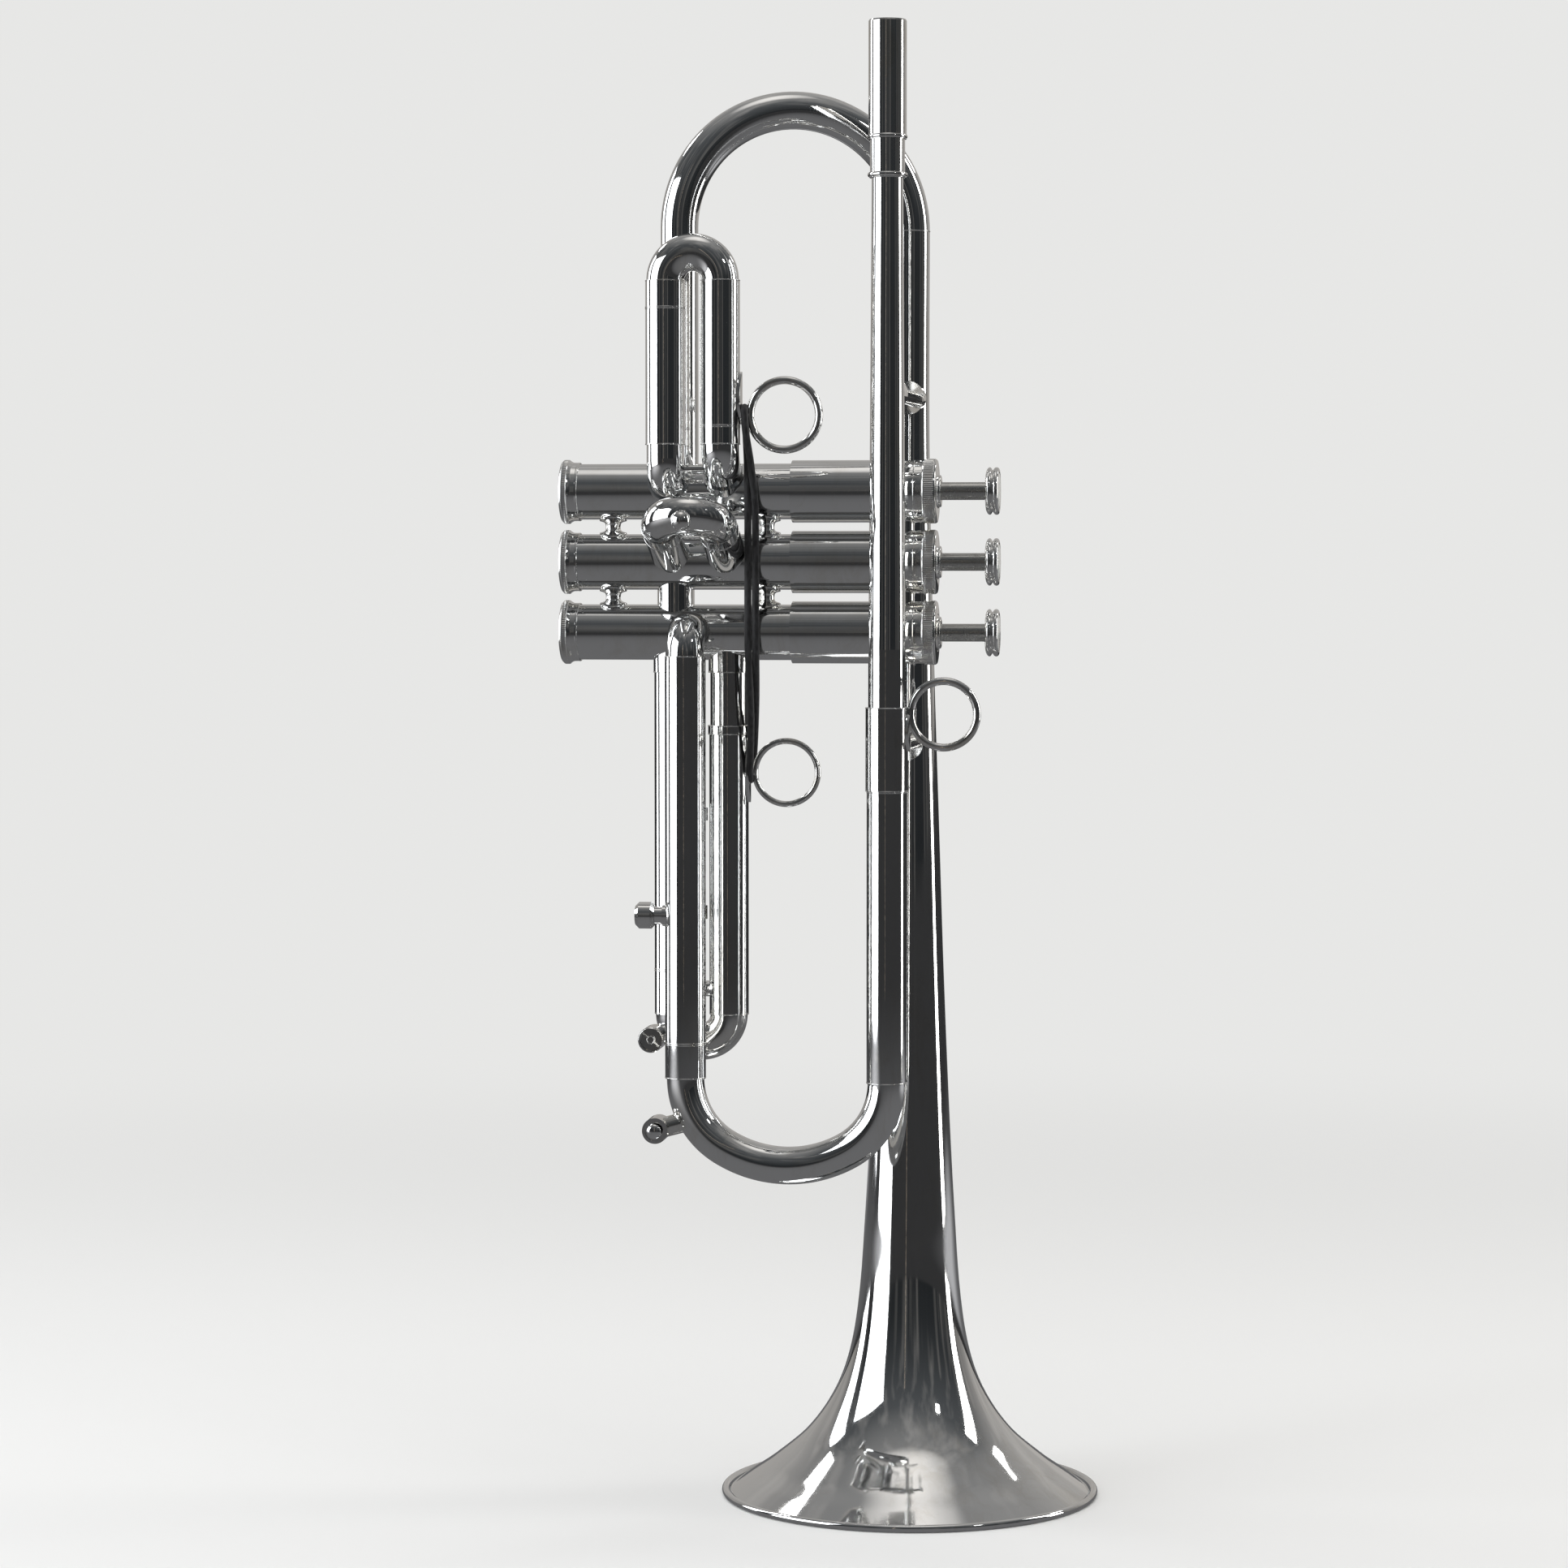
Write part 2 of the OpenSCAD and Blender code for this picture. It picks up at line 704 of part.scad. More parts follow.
module stop_rod_eyelet() {
    eyelet_r = 1.9;
    eyelet_gap = 0.06;
    arm_h = 2.6;
    color(bright) difference() {
        union() {
            translate([leg_mid_x, valve_y, eyelet_z - eyelet_h / 2]) cylinder(h = eyelet_h, r = eyelet_r);
            translate([left_leg_x, valve_y - arm_h / 2, eyelet_z - arm_h / 2])
                cube([leg_mid_x - left_leg_x, arm_h, arm_h]);
        }
        translate([left_leg_x, valve_y, third_joint_z])
            cylinder(h = third_top_z - third_joint_z, r = outer_tube_r);
        translate([leg_mid_x, valve_y, eyelet_z - eyelet_h])
            cylinder(h = 2 * eyelet_h, r = rod_r + eyelet_gap);
    }
}

// Main slide's fixed lower tube, with the lyre holder and its screw
module main_slide_outer_tube() {
    color(silver) translate([main_leg_x, main_leg_y, main_joint_z])
        tube(main_tube_top_z - main_joint_z, main_outer_r, sleeve_bore_r);
}

module lyre_holder() {
    foot_r = 3.6;
    foot_h = 0.7;
    color(bright) difference() {
        translate([main_leg_x, main_leg_y, lyre_z]) rotate([0, -90, 0]) {
            cylinder(h = main_leg_x - lyre_post_x, r = lyre_post_r);
            cylinder(h = main_outer_r + foot_h, r = foot_r);
        }
        translate([main_leg_x, main_leg_y, main_joint_z])
            cylinder(h = main_tube_top_z - main_joint_z, r = main_outer_r);
        translate([main_leg_x, main_leg_y, lyre_z]) rotate([0, -90, 0])
            cylinder(h = 2 * (main_leg_x - lyre_post_x), r = lyre_thread_r);
    }
}

module lyre_screw() {
    rounding = 1.2;
    thread_gap = 0.05;
    color(bright) translate([lyre_post_x, main_leg_y, lyre_z]) rotate([0, -90, 0]) rotate_extrude()
        polygon([
            [0, -lyre_thread_h], [lyre_thread_r - thread_gap, -lyre_thread_h],
            [lyre_thread_r - thread_gap, thread_gap],
            [lyre_knob_r - rounding, thread_gap], [lyre_knob_r, rounding],
            [lyre_knob_r, lyre_post_x - lyre_knob_x - rounding],
            [lyre_knob_r - rounding, lyre_post_x - lyre_knob_x], [0, lyre_post_x - lyre_knob_x]
        ]);
}

// Piston: a thin shell with three passages, and the slotted barrel that holds the spring
module piston(n) {
    piston_r = casing_bore_r - piston_gap;
    vent_r = 1.5;
    color(steel) on_valve(n) difference() {
        union() {
            translate([0, 0, piston_bottom_x]) difference() {
                cylinder(h = piston_top_x - piston_bottom_x, r = piston_r);
                translate([0, 0, piston_wall])
                    cylinder(h = piston_top_x - piston_bottom_x - 2 * piston_wall,
                        r = piston_r - piston_wall);
            }
            intersection() {
                translate([0, 0, piston_bottom_x])
                    cylinder(h = piston_top_x - piston_bottom_x, r = piston_r);
                piston_passages(n, passage_r + port_tube_wall);
            }
            translate([0, 0, piston_top_x])
                tube(barrel_top_x - piston_top_x, barrel_r, barrel_r - barrel_wall);
            translate([0, 0, barrel_top_x - barrel_lid_h]) cylinder(h = barrel_lid_h, r = barrel_r);
        }
        piston_passages(n, passage_r);
        translate([0, 0, piston_bottom_x - cut]) cylinder(h = piston_wall + 2 * cut, r = vent_r);
        translate([-slot_w / 2, -casing_r, guide_x - slot_gap])
            cube([slot_w, 2 * casing_r, guide_h + valve_travel + 2 * slot_gap]);
        translate([0, 0, barrel_top_x - barrel_lid_h - cut])
            cylinder(h = barrel_lid_h + 2 * cut, r = stem_foot_r);
    }
}

// Straight passages from the piston's axis towards its ports, for the valve at rest
module piston_passages(n, radius) {
    for (port = ports[n - 1]) translate([0, 0, port[0]]) rotate([0, 0, port[1]]) rotate([0, 90, 0])
        cylinder(h = casing_r + cut, r = radius);
}

module piston_1() { piston(1); }
module piston_2() { piston(2); }
module piston_3() { piston(3); }

module valve_stem(n) {
    color(steel) on_valve(n) {
        translate([0, 0, barrel_top_x]) cylinder(h = stem_end_x - barrel_top_x, r = stem_r);
        translate([0, 0, barrel_top_x - barrel_lid_h]) cylinder(h = barrel_lid_h, r = stem_foot_r);
    }
}

module valve_stem_1() { valve_stem(1); }
module valve_stem_2() { valve_stem(2); }
module valve_stem_3() { valve_stem(3); }

module finger_button(n) {
    waist_r = 6.6;
    lip_h = 1.1;
    lip_round = 0.4;
    waist_h = 2.2;
    top = button_h;
    low_r = button_r - lip_round;
    color(bright) on_valve(n) translate([0, 0, button_x]) rotate_extrude() difference() {
        polygon([
            [0, 0], [waist_r, 0], [low_r, lip_round], [button_r, lip_h],
            [low_r, lip_h + lip_round], [waist_r, waist_h], [low_r, top - lip_h - lip_round],
            [button_r, top - lip_h], [low_r, top],
            [inlay_r, top], [inlay_r, top - inlay_h], [0, top - inlay_h]
        ]);
        translate([0, -cut]) square([stem_r, stem_end_x - button_x + cut]);
    }
}

module finger_button_1() { finger_button(1); }
module finger_button_2() { finger_button(2); }
module finger_button_3() { finger_button(3); }

module button_inlay(n) {
    dome = 0.3;
    color(pearl) on_valve(n) translate([0, 0, button_x + button_h - inlay_h]) rotate_extrude()
        polygon([[0, 0], [inlay_r, 0], [inlay_r, inlay_h], [inlay_r / 2, inlay_h + dome],
            [0, inlay_h + dome]]);
}

module button_inlay_1() { button_inlay(1); }
module button_inlay_2() { button_inlay(2); }
module button_inlay_3() { button_inlay(3); }

// A coil spring between the guide and the top of the barrel, as one swept helix
module valve_spring(n) {
    from_x = guide_x + guide_h + spring_wire_r;
    to_x = barrel_top_x - barrel_lid_h - spring_wire_r;
    rings = spring_turns * spring_steps;
    points = [for (i = [0 : rings], k = [0 : spring_sides - 1])
        let (turn = i * 360 / spring_steps, side = k * 360 / spring_sides,
            radius = spring_r + spring_wire_r * cos(side))
        [radius * cos(turn), radius * sin(turn),
            from_x + (to_x - from_x) * i / rings + spring_wire_r * sin(side)]];
    walls = [for (i = [0 : rings - 1], k = [0 : spring_sides - 1])
        let (a = i * spring_sides + k, b = i * spring_sides + (k + 1) % spring_sides)
        [a, b, b + spring_sides, a + spring_sides]];
    first_end = [for (k = [spring_sides - 1 : -1 : 0]) k];
    last_end = [for (k = [0 : spring_sides - 1]) rings * spring_sides + k];
    color(steel) on_valve(n) polyhedron(points, concat(walls, [first_end, last_end]));
}

module valve_spring_1() { valve_spring(1); }
module valve_spring_2() { valve_spring(2); }
module valve_spring_3() { valve_spring(3); }

// Main slide
module main_slide_frame() {
    translate([leadpipe_x, leadpipe_y, main_bow_z]) rotate([0, 0, main_angle])
        translate([-main_span / 2, 0, 0])
        children();
}

// The three arcs of the bow, hanging below the XY plane, each its own drawn length of tube
module bow_arcs(outer, inner) {
    end_x = main_span / 2 - bow_end_r;
    mid_z = (bow_mid_r - bow_end_r) * sin(bow_end_sweep);
    end_sweep = bow_end_sweep - arc_seam;
    rotate([90, 0, 0]) {
        translate([end_x, 0, 0]) rotate([0, 0, -end_sweep]) bend(bow_end_r, end_sweep, outer, inner);
        translate([-end_x, 0, 0]) rotate([0, 0, 180]) bend(bow_end_r, end_sweep, outer, inner);
        translate([0, mid_z, 0]) rotate([0, 0, 180 + bow_end_sweep])
            bend(bow_mid_r, 180 - 2 * bow_end_sweep, outer, inner);
    }
}

module main_slide_bow() {
    color(silver) main_slide_frame() bow_arcs(crook_r, crook_bore_r);
}

module main_slide_sleeve() {
    color(silver) translate([leadpipe_x, leadpipe_y, main_bow_z])
        tube(sleeve_top_z - main_bow_z, outer_tube_r, sleeve_bore_r);
}

module main_slide_inner_tube() {
    tube_end_z = 272;
    color(silver) translate([main_leg_x, main_leg_y, main_bow_z]) {
        tube(tube_end_z - main_bow_z, inner_tube_r, bore_r);
        tube(main_joint_z - main_bow_z, main_outer_r, inner_tube_r);
    }
}

// A push-button water key: a barrel with its axis along Y, and the pin hole of its button
module water_key_barrel(at) {
    translate(at) rotate([-90, 0, 0]) rotate_extrude() polygon([
        [key_pin_r + key_pin_gap, key_recess], [water_key_r - key_rim, key_recess],
        [water_key_r - key_rim, 0],
        [water_key_r, 0], [water_key_r, water_key_l - key_lip], [water_key_r - key_lip, water_key_l],
        [water_key_r - 2 * key_lip, water_key_l], [water_key_r - 2 * key_lip, water_key_l - key_well],
        [key_hub_r, water_key_l - key_well], [key_hub_r, water_key_l - key_hub_drop],
        [0, water_key_l - key_hub_drop], [0, key_hole_h], [key_pin_r + key_pin_gap, key_hole_h]
    ]);
}

module water_key_button(at) {
    rounding = 0.8;
    pin_end = 4;
    under = key_recess - key_travel - key_gap;
    top = under - key_button_h;
    color(bright) translate(at) rotate([-90, 0, 0]) rotate_extrude() polygon([
        [0, top], [key_button_r - rounding, top], [key_button_r, top + rounding], [key_button_r, under],
        [key_pin_r, under], [key_pin_r, pin_end], [0, pin_end]
    ]);
}

// Turns a water key's parts end for end, so that its button faces +Y
module turned_key(at) {
    translate([0, 2 * at.y + water_key_l, 0]) mirror([0, 1, 0]) children();
}

module main_water_key() {
    color(bright) difference() {
        union() {
            water_key_barrel(main_key);
            translate(main_key + [0, water_key_l / 2, 0]) rotate([0, main_key_lean, 0])
                cylinder(h = main_key_neck_h, r = key_neck_r);
        }
        main_slide_frame() rotate([90, 0, 0]) translate([bow_end_r - main_span / 2, 0, 0])
            rotate([0, 0, 180]) rod_bend(bow_end_r, bow_end_sweep, crook_r);
        translate(main_key) rotate([-90, 0, 0]) cylinder(h = key_hole_h, r = key_pin_r + key_pin_gap);
    }
}

module main_water_key_button() { water_key_button(main_key); }

// First slide's moving parts
module first_slide_crook() {
    color(silver) translate([(first_left_x + first_right_x) / 2, first_slide_y, first_crook_z])
        crook(first_right_x - first_left_x);
}

module first_slide_sleeve() {
    color(silver) translate([first_right_x, first_slide_y, first_right_joint_z])
        tube(first_crook_z - first_right_joint_z, outer_tube_r, sleeve_bore_r);
}

module first_slide_inner_tube() {
    tube_end_z = 353;
    color(silver) translate([first_left_x, first_slide_y, 0]) {
        translate([0, 0, tube_end_z]) tube(first_crook_z - tube_end_z, inner_tube_r, bore_r);
        translate([0, 0, first_left_joint_z])
            tube(first_crook_z - first_left_joint_z, outer_tube_r, inner_tube_r);
    }
}

module slide_ring(leg_x, y, tube_r, ring_x, ring_z, radius, wire_r, foot_z, foot_h) {
    neck_r = 1.3;
    foot_t = 0.8;
    foot_w = 6;
    difference() {
        union() {
            translate([ring_x, y, ring_z]) finger_ring(radius, wire_r);
            translate([leg_x, y, foot_z]) ring_foot(tube_r, foot_t, foot_w, foot_h);
            translate([leg_x, y, ring_z]) rotate([0, 90, 0])
                cylinder(h = ring_x - radius - leg_x, r = neck_r);
        }
        translate([leg_x, y, foot_z - foot_h]) cylinder(h = 2 * foot_h, r = tube_r);
    }
}

module first_slide_ring() {
    color(bright) slide_ring(first_right_x, first_slide_y, outer_tube_r, first_ring_x, first_ring_z,
        first_ring_r, first_ring_wire_r, first_ring_foot_z, first_ring_foot_h);
}

// Second slide's moving parts
module second_slide_crook() {
    knob_r = 3.3;
    knob_neck_r = 1.6;
    knob_lean = second_slide_tilt + 12;
    color(silver) {
        second_slide_frame() translate([leg_mid_x, 0, second_crook]) crook(leg_pitch);
        difference() {
            second_slide_frame() translate([leg_mid_x, 0, second_crook + leg_pitch / 2])
                rotate([knob_lean, 0, 0]) {
                    cylinder(h = crook_r + knob_r, r = knob_neck_r);
                    translate([0, 0, crook_r + knob_r]) sphere(r = knob_r);
                }
            second_slide_frame() translate([leg_mid_x, 0, second_crook]) rotate([90, 0, 0])
                rod_bend(leg_pitch / 2, 180, crook_r);
        }
    }
}

module second_slide_inner_tubes() {
    color(silver) second_slide_frame() for (x = [left_leg_x, right_leg_x]) translate([x, 0, 0]) {
        translate([0, 0, second_tube_end]) tube(second_crook - second_tube_end, inner_tube_r, bore_r);
        translate([0, 0, second_joint]) tube(second_crook - second_joint, outer_tube_r, inner_tube_r);
    }
}

// Third slide's moving parts
module third_slide_crook() {
    brace_rod_r = 2.6;
    rod_end = 1;
    nut_gap = 0.2;
    color(silver) {
        translate([leg_mid_x, valve_y, third_crook_z]) mirror([0, 0, 1]) crook(leg_pitch);
        difference() {
            translate([left_leg_x, valve_y, rod_foot_z]) rotate([0, 90, 0])
                cylinder(h = leg_pitch, r = brace_rod_r);
            for (x = [left_leg_x, right_leg_x]) translate([x, valve_y, third_crook_z])
                cylinder(h = third_top_z - third_crook_z, r = outer_tube_r);
        }
        translate([leg_mid_x, valve_y, rod_foot_z])
            cylinder(h = rod_nut_z + 2 * nut_h + rod_end - rod_foot_z, r = rod_r);
        for (i = [0, 1]) translate([leg_mid_x, valve_y, rod_nut_z + i * nut_h])
            cylinder(h = nut_h - nut_gap, r = nut_r);
    }
}

module third_slide_sleeve() {
    collar_h = 3;
    color(silver) translate([right_leg_x, valve_y, 0]) {
        translate([0, 0, third_crook_z]) tube(third_sleeve_z - third_crook_z, outer_tube_r, sleeve_bore_r);
        translate([0, 0, third_sleeve_z - collar_h]) tube(collar_h, ferrule_r, outer_tube_r);
    }
}

module third_slide_inner_tube() {
    tube_end_z = 268;
    color(silver) translate([left_leg_x, valve_y, third_crook_z]) {
        tube(tube_end_z - third_crook_z, inner_tube_r, bore_r);
        tube(third_joint_z - third_crook_z, outer_tube_r, inner_tube_r);
    }
}

module third_slide_ring() {
    color(bright) slide_ring(right_leg_x, valve_y, outer_tube_r, third_ring_x, third_ring_z,
        third_ring_r, third_ring_wire_r, third_ring_foot_z, third_ring_foot_h);
}

module third_water_key() {
    color(bright) difference() {
        union() {
            turned_key(third_key) water_key_barrel(third_key);
            translate(third_key + [0, water_key_l / 2, 0]) rotate([0, third_key_lean, 0])
                cylinder(h = third_key_neck_h, r = key_neck_r);
        }
        translate([leg_mid_x, valve_y, third_crook_z]) mirror([0, 0, 1]) rotate([90, 0, 0])
            rod_bend(leg_pitch / 2, 180, crook_r);
        translate([left_leg_x, valve_y, third_crook_z])
            cylinder(h = third_joint_z - third_crook_z, r = outer_tube_r);
        turned_key(third_key) translate(third_key) rotate([-90, 0, 0])
            cylinder(h = key_hole_h, r = key_pin_r + key_pin_gap);
    }
}

module third_water_key_button() { turned_key(third_key) water_key_button(third_key); }

bell();
bell_rim_wire();
bell_bow();
bell_braces();
mouthpiece_receiver();
leadpipe();
leadpipe_ferrule();
leadpipe_slide_tube();
pinky_ring();
valve_casing_1();
valve_casing_2();
valve_casing_3();
casing_braces();
crossover_tubes();
top_caps();
bottom_caps();
valve_guides();
valve_knuckles();
slide_braces();
first_slide_outer_tube();
first_slide_fixed_tube();
second_slide_outer_tubes();
third_slide_outer_tube();
third_slide_fixed_tube();
stop_rod_eyelet();
main_slide_outer_tube();
lyre_holder();
lyre_screw();
piston_1();
piston_2();
piston_3();
valve_stem_1();
valve_stem_2();
valve_stem_3();
finger_button_1();
finger_button_2();
finger_button_3();
button_inlay_1();
button_inlay_2();
button_inlay_3();
valve_spring_1();
valve_spring_2();
valve_spring_3();
main_slide_bow();
main_slide_sleeve();
main_slide_inner_tube();
main_water_key();
main_water_key_button();
first_slide_crook();
first_slide_sleeve();
first_slide_inner_tube();
first_slide_ring();
second_slide_crook();
second_slide_inner_tubes();
third_slide_crook();
third_slide_sleeve();
third_slide_inner_tube();
third_slide_ring();
third_water_key();
third_water_key_button();
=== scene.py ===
import json
import math

import bpy
from mathutils import Matrix, Vector


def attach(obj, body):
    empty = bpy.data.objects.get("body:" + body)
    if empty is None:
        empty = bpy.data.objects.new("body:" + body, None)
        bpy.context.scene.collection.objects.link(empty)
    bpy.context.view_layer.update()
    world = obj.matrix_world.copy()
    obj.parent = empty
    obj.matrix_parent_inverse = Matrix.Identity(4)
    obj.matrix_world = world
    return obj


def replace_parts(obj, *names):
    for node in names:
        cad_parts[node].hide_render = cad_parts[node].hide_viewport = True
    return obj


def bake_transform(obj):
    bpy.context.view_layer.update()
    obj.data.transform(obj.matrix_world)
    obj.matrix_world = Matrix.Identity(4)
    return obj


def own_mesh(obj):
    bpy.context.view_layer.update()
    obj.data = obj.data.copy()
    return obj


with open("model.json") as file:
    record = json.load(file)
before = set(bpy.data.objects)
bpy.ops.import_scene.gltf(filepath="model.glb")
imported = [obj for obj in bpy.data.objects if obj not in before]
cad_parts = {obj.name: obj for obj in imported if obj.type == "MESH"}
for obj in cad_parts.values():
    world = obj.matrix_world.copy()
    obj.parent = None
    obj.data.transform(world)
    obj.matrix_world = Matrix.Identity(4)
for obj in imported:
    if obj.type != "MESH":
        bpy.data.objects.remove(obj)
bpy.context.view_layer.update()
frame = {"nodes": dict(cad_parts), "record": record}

MM = 0.001
TURN = 2 * math.pi

# Places shared with the CAD, in millimetres
VALVE_Y = -25
VALVE_Z = (334, 311, 288)
CASING_R = 9.1
LEADPIPE = (-3, -50)
MAIN_LEG = (-69.4, -43)
FIRST_LEFT, FIRST_RIGHT = (-76.2, -40), (-58.3, -40)
THIRD_LEFT, THIRD_RIGHT = (-75.7, -25), (-57.5, -25)
SECOND_LEGS_X = (-75.7, -57.5)
SECOND_TILT = math.radians(22)
# The bell's outside: height over the rim, radius
BELL = ((0, 61.6), (5, 54.4), (11, 45.8), (21, 34.2), (34, 25.2), (48, 20), (67, 16.9), (93, 15),
        (126, 13.2), (173, 11.2), (224, 9.5), (280, 7.7), (350, 6.15), (420, 6.15))


# ---------------------------------------------------------------- materials
class Nodes:
    """A material's node tree, with short calls to add and join nodes."""

    def __init__(self, name):
        self.mat = bpy.data.materials.new(name)
        self.mat.use_nodes = True
        self.tree = self.mat.node_tree
        self.tree.nodes.clear()
        self.out = self.add("ShaderNodeOutputMaterial")
        self.bsdf = self.add("ShaderNodeBsdfPrincipled")
        self.join(self.bsdf.outputs[0], self.out.inputs["Surface"])
        self.place = self.add("ShaderNodeTexCoord").outputs["Object"]

    def add(self, kind, **values):
        node = self.tree.nodes.new(kind)
        for key, value in values.items():
            setattr(node, key, value)
        return node

    def join(self, a, b):
        self.tree.links.new(a, b)

    def noise(self, scale, detail, rough, stretch=(1, 1, 1), distortion=0.0):
        move = self.add("ShaderNodeMapping")
        move.inputs["Scale"].default_value = stretch
        self.join(self.place, move.inputs["Vector"])
        node = self.add("ShaderNodeTexNoise")
        node.inputs["Scale"].default_value = scale
        node.inputs["Detail"].default_value = detail
        node.inputs["Roughness"].default_value = rough
        node.inputs["Distortion"].default_value = distortion
        self.join(move.outputs[0], node.inputs["Vector"])
        return node.outputs["Fac"]

    def span(self, value, low, high, to_low=0.0, to_high=1.0):
        node = self.add("ShaderNodeMapRange", interpolation_type="SMOOTHSTEP")
        node.inputs["From Min"].default_value = low
        node.inputs["From Max"].default_value = high
        node.inputs["To Min"].default_value = to_low
        node.inputs["To Max"].default_value = to_high
        self.join(value, node.inputs["Value"])
        return node.outputs[0]

    def mix(self, factor, a, b):
        node = self.add("ShaderNodeMix", data_type="RGBA")
        for socket, value in ((node.inputs[0], factor), (node.inputs[6], a), (node.inputs[7], b)):
            if isinstance(value, bpy.types.NodeSocket):
                self.join(value, socket)
            else:
                socket.default_value = (*value, 1)
        return node.outputs[2]

    def maths(self, operation, a, b):
        node = self.add("ShaderNodeMath", operation=operation)
        for socket, value in zip(node.inputs, (a, b)):
            if isinstance(value, bpy.types.NodeSocket):
                self.join(value, socket)
            else:
                socket.default_value = value
        return node.outputs[0]

    def bump(self, height, distance, under=None):
        node = self.add("ShaderNodeBump")
        node.inputs["Strength"].default_value = 1.0
        node.inputs["Distance"].default_value = distance
        self.join(height, node.inputs["Height"])
        if under is not None:
            self.join(under, node.inputs["Normal"])
        self.join(node.outputs[0], self.bsdf.inputs["Normal"])
        return node.outputs[0]

    def set(self, **values):
        for key, value in values.items():
            socket = self.bsdf.inputs[key.replace("_", " ")]
            if isinstance(value, bpy.types.NodeSocket):
                self.join(value, socket)
            else:
                socket.default_value = value


def plated(name, bright, shade, rough, wave=0.00006, hair=0.000002, grain=(1, 1, 0.04)):
    """Polished metal: a faint tarnish, cloudy polish, soft hand-buffed waves and hair lines."""
    m = Nodes(name)
    cloud = m.noise(22, detail=5, rough=0.6)
    smear = m.noise(140, detail=6, rough=0.65, stretch=(1, 1, 0.35), distortion=0.8)
    tarnish = m.span(m.maths("MULTIPLY", cloud, smear), 0.22, 0.42)
    m.set(Metallic=1.0, Base_Color=m.mix(tarnish, bright, shade))
    polish = m.span(smear, 0.35, 0.75, rough, rough * 2.2)
    lines = m.noise(2600, detail=3, rough=0.7, stretch=grain)
    m.set(Roughness=m.maths("ADD", polish, m.span(lines, 0.55, 0.8, 0.0, 0.05)))
    soft = m.bump(m.noise(48, detail=2, rough=0.4, stretch=(1, 1, 0.5)), wave)
    m.bump(lines, hair, under=soft)
    return m.mat


def pearl_shell(name):
    """Mother of pearl: pink and green layers in a clear, glossy white."""
    m = Nodes(name)
    layers = m.noise(260, detail=4, rough=0.6, stretch=(1, 1, 2.4), distortion=1.6)
    veins = m.noise(900, detail=3, rough=0.5, stretch=(1, 2.2, 1), distortion=0.6)
    base = m.mix(m.span(layers, 0.35, 0.65), (0.86, 0.80, 0.78), (0.74, 0.83, 0.80))
    base = m.mix(m.span(veins, 0.45, 0.7), base, (0.93, 0.91, 0.86))
    m.set(Base_Color=base, Roughness=0.16, Coat_Weight=0.7, Coat_Roughness=0.05, Specular_IOR_Level=0.7)
    m.bump(layers, 0.00004)
    return m.mat


def elastic(name):
    """Black braided rubber cord: fine ribs along its length and a dusty sheen."""
    m = Nodes(name)
    ribs = m.noise(1500, detail=2, rough=0.5, stretch=(1, 1, 0.25))
    m.set(Base_Color=m.mix(m.span(ribs, 0.3, 0.7), (0.006, 0.006, 0.007), (0.022, 0.022, 0.024)),
          Roughness=m.span(ribs, 0.3, 0.7, 0.55, 0.75), Sheen_Weight=0.2)
    m.bump(ribs, 0.0002)
    return m.mat


SILVER = plated("silver_plate", (0.93, 0.935, 0.93), (0.86, 0.85, 0.82), 0.035)
TUBE_SILVER = plated("silver_plate_drawn", (0.93, 0.935, 0.93), (0.87, 0.86, 0.83), 0.03, 0.00009)
TURNED = plated("silver_plate_turned", (0.95, 0.95, 0.94), (0.80, 0.77, 0.70), 0.05, 0.00002)
ALLOY = plated("lapped_alloy", (0.62, 0.62, 0.60), (0.52, 0.51, 0.48), 0.16, 0.00001, 0.000004,
               (1, 0.05, 0.05))
WIRE = plated("spring_wire", (0.50, 0.50, 0.52), (0.36, 0.35, 0.34), 0.22)
BRASS = plated("guide_brass", (0.80, 0.62, 0.30), (0.60, 0.44, 0.20), 0.2)
PEARL = pearl_shell("pearl_shell")
ELASTIC = elastic("black_elastic")

SLOT_MATERIALS = {
    "silver_plate": SILVER, "bright_silver": TURNED, "piston_alloy": ALLOY, "spring_steel": WIRE,
    "guide_brass": BRASS, "pearl": PEARL,
}
for part in frame["record"]["subparts"]:
    node = frame["nodes"][part["node"]]
    drawn = "tube" in part["node"] or part["node"] == "leadpipe"
    finish = TUBE_SILVER if drawn else SLOT_MATERIALS[part["material_slot"]]
    node.data.materials.clear()
    node.data.materials.append(finish)


# ---------------------------------------------------------------- mesh code
def piece(name, verts, faces, material, body, crease=35):
    mesh = bpy.data.meshes.new(name)
    mesh.from_pydata([Vector(v) * MM for v in verts], [], faces)
    mesh.validate()
    mesh.polygons.foreach_set("use_smooth", [True] * len(mesh.polygons))
    mesh.set_sharp_from_angle(angle=math.radians(crease))
    mesh.materials.append(material)
    obj = bpy.data.objects.new(name, mesh)
    bpy.context.scene.collection.objects.link(obj)
    if body:
        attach(obj, body)
    return obj


def circle(radius, sides, middle=(0, 0)):
    """The points of a circle, as (x, y)."""
    turns = [TURN * k / sides for k in range(sides)]
    return [(middle[0] + radius * math.cos(a), middle[1] + radius * math.sin(a)) for a in turns]


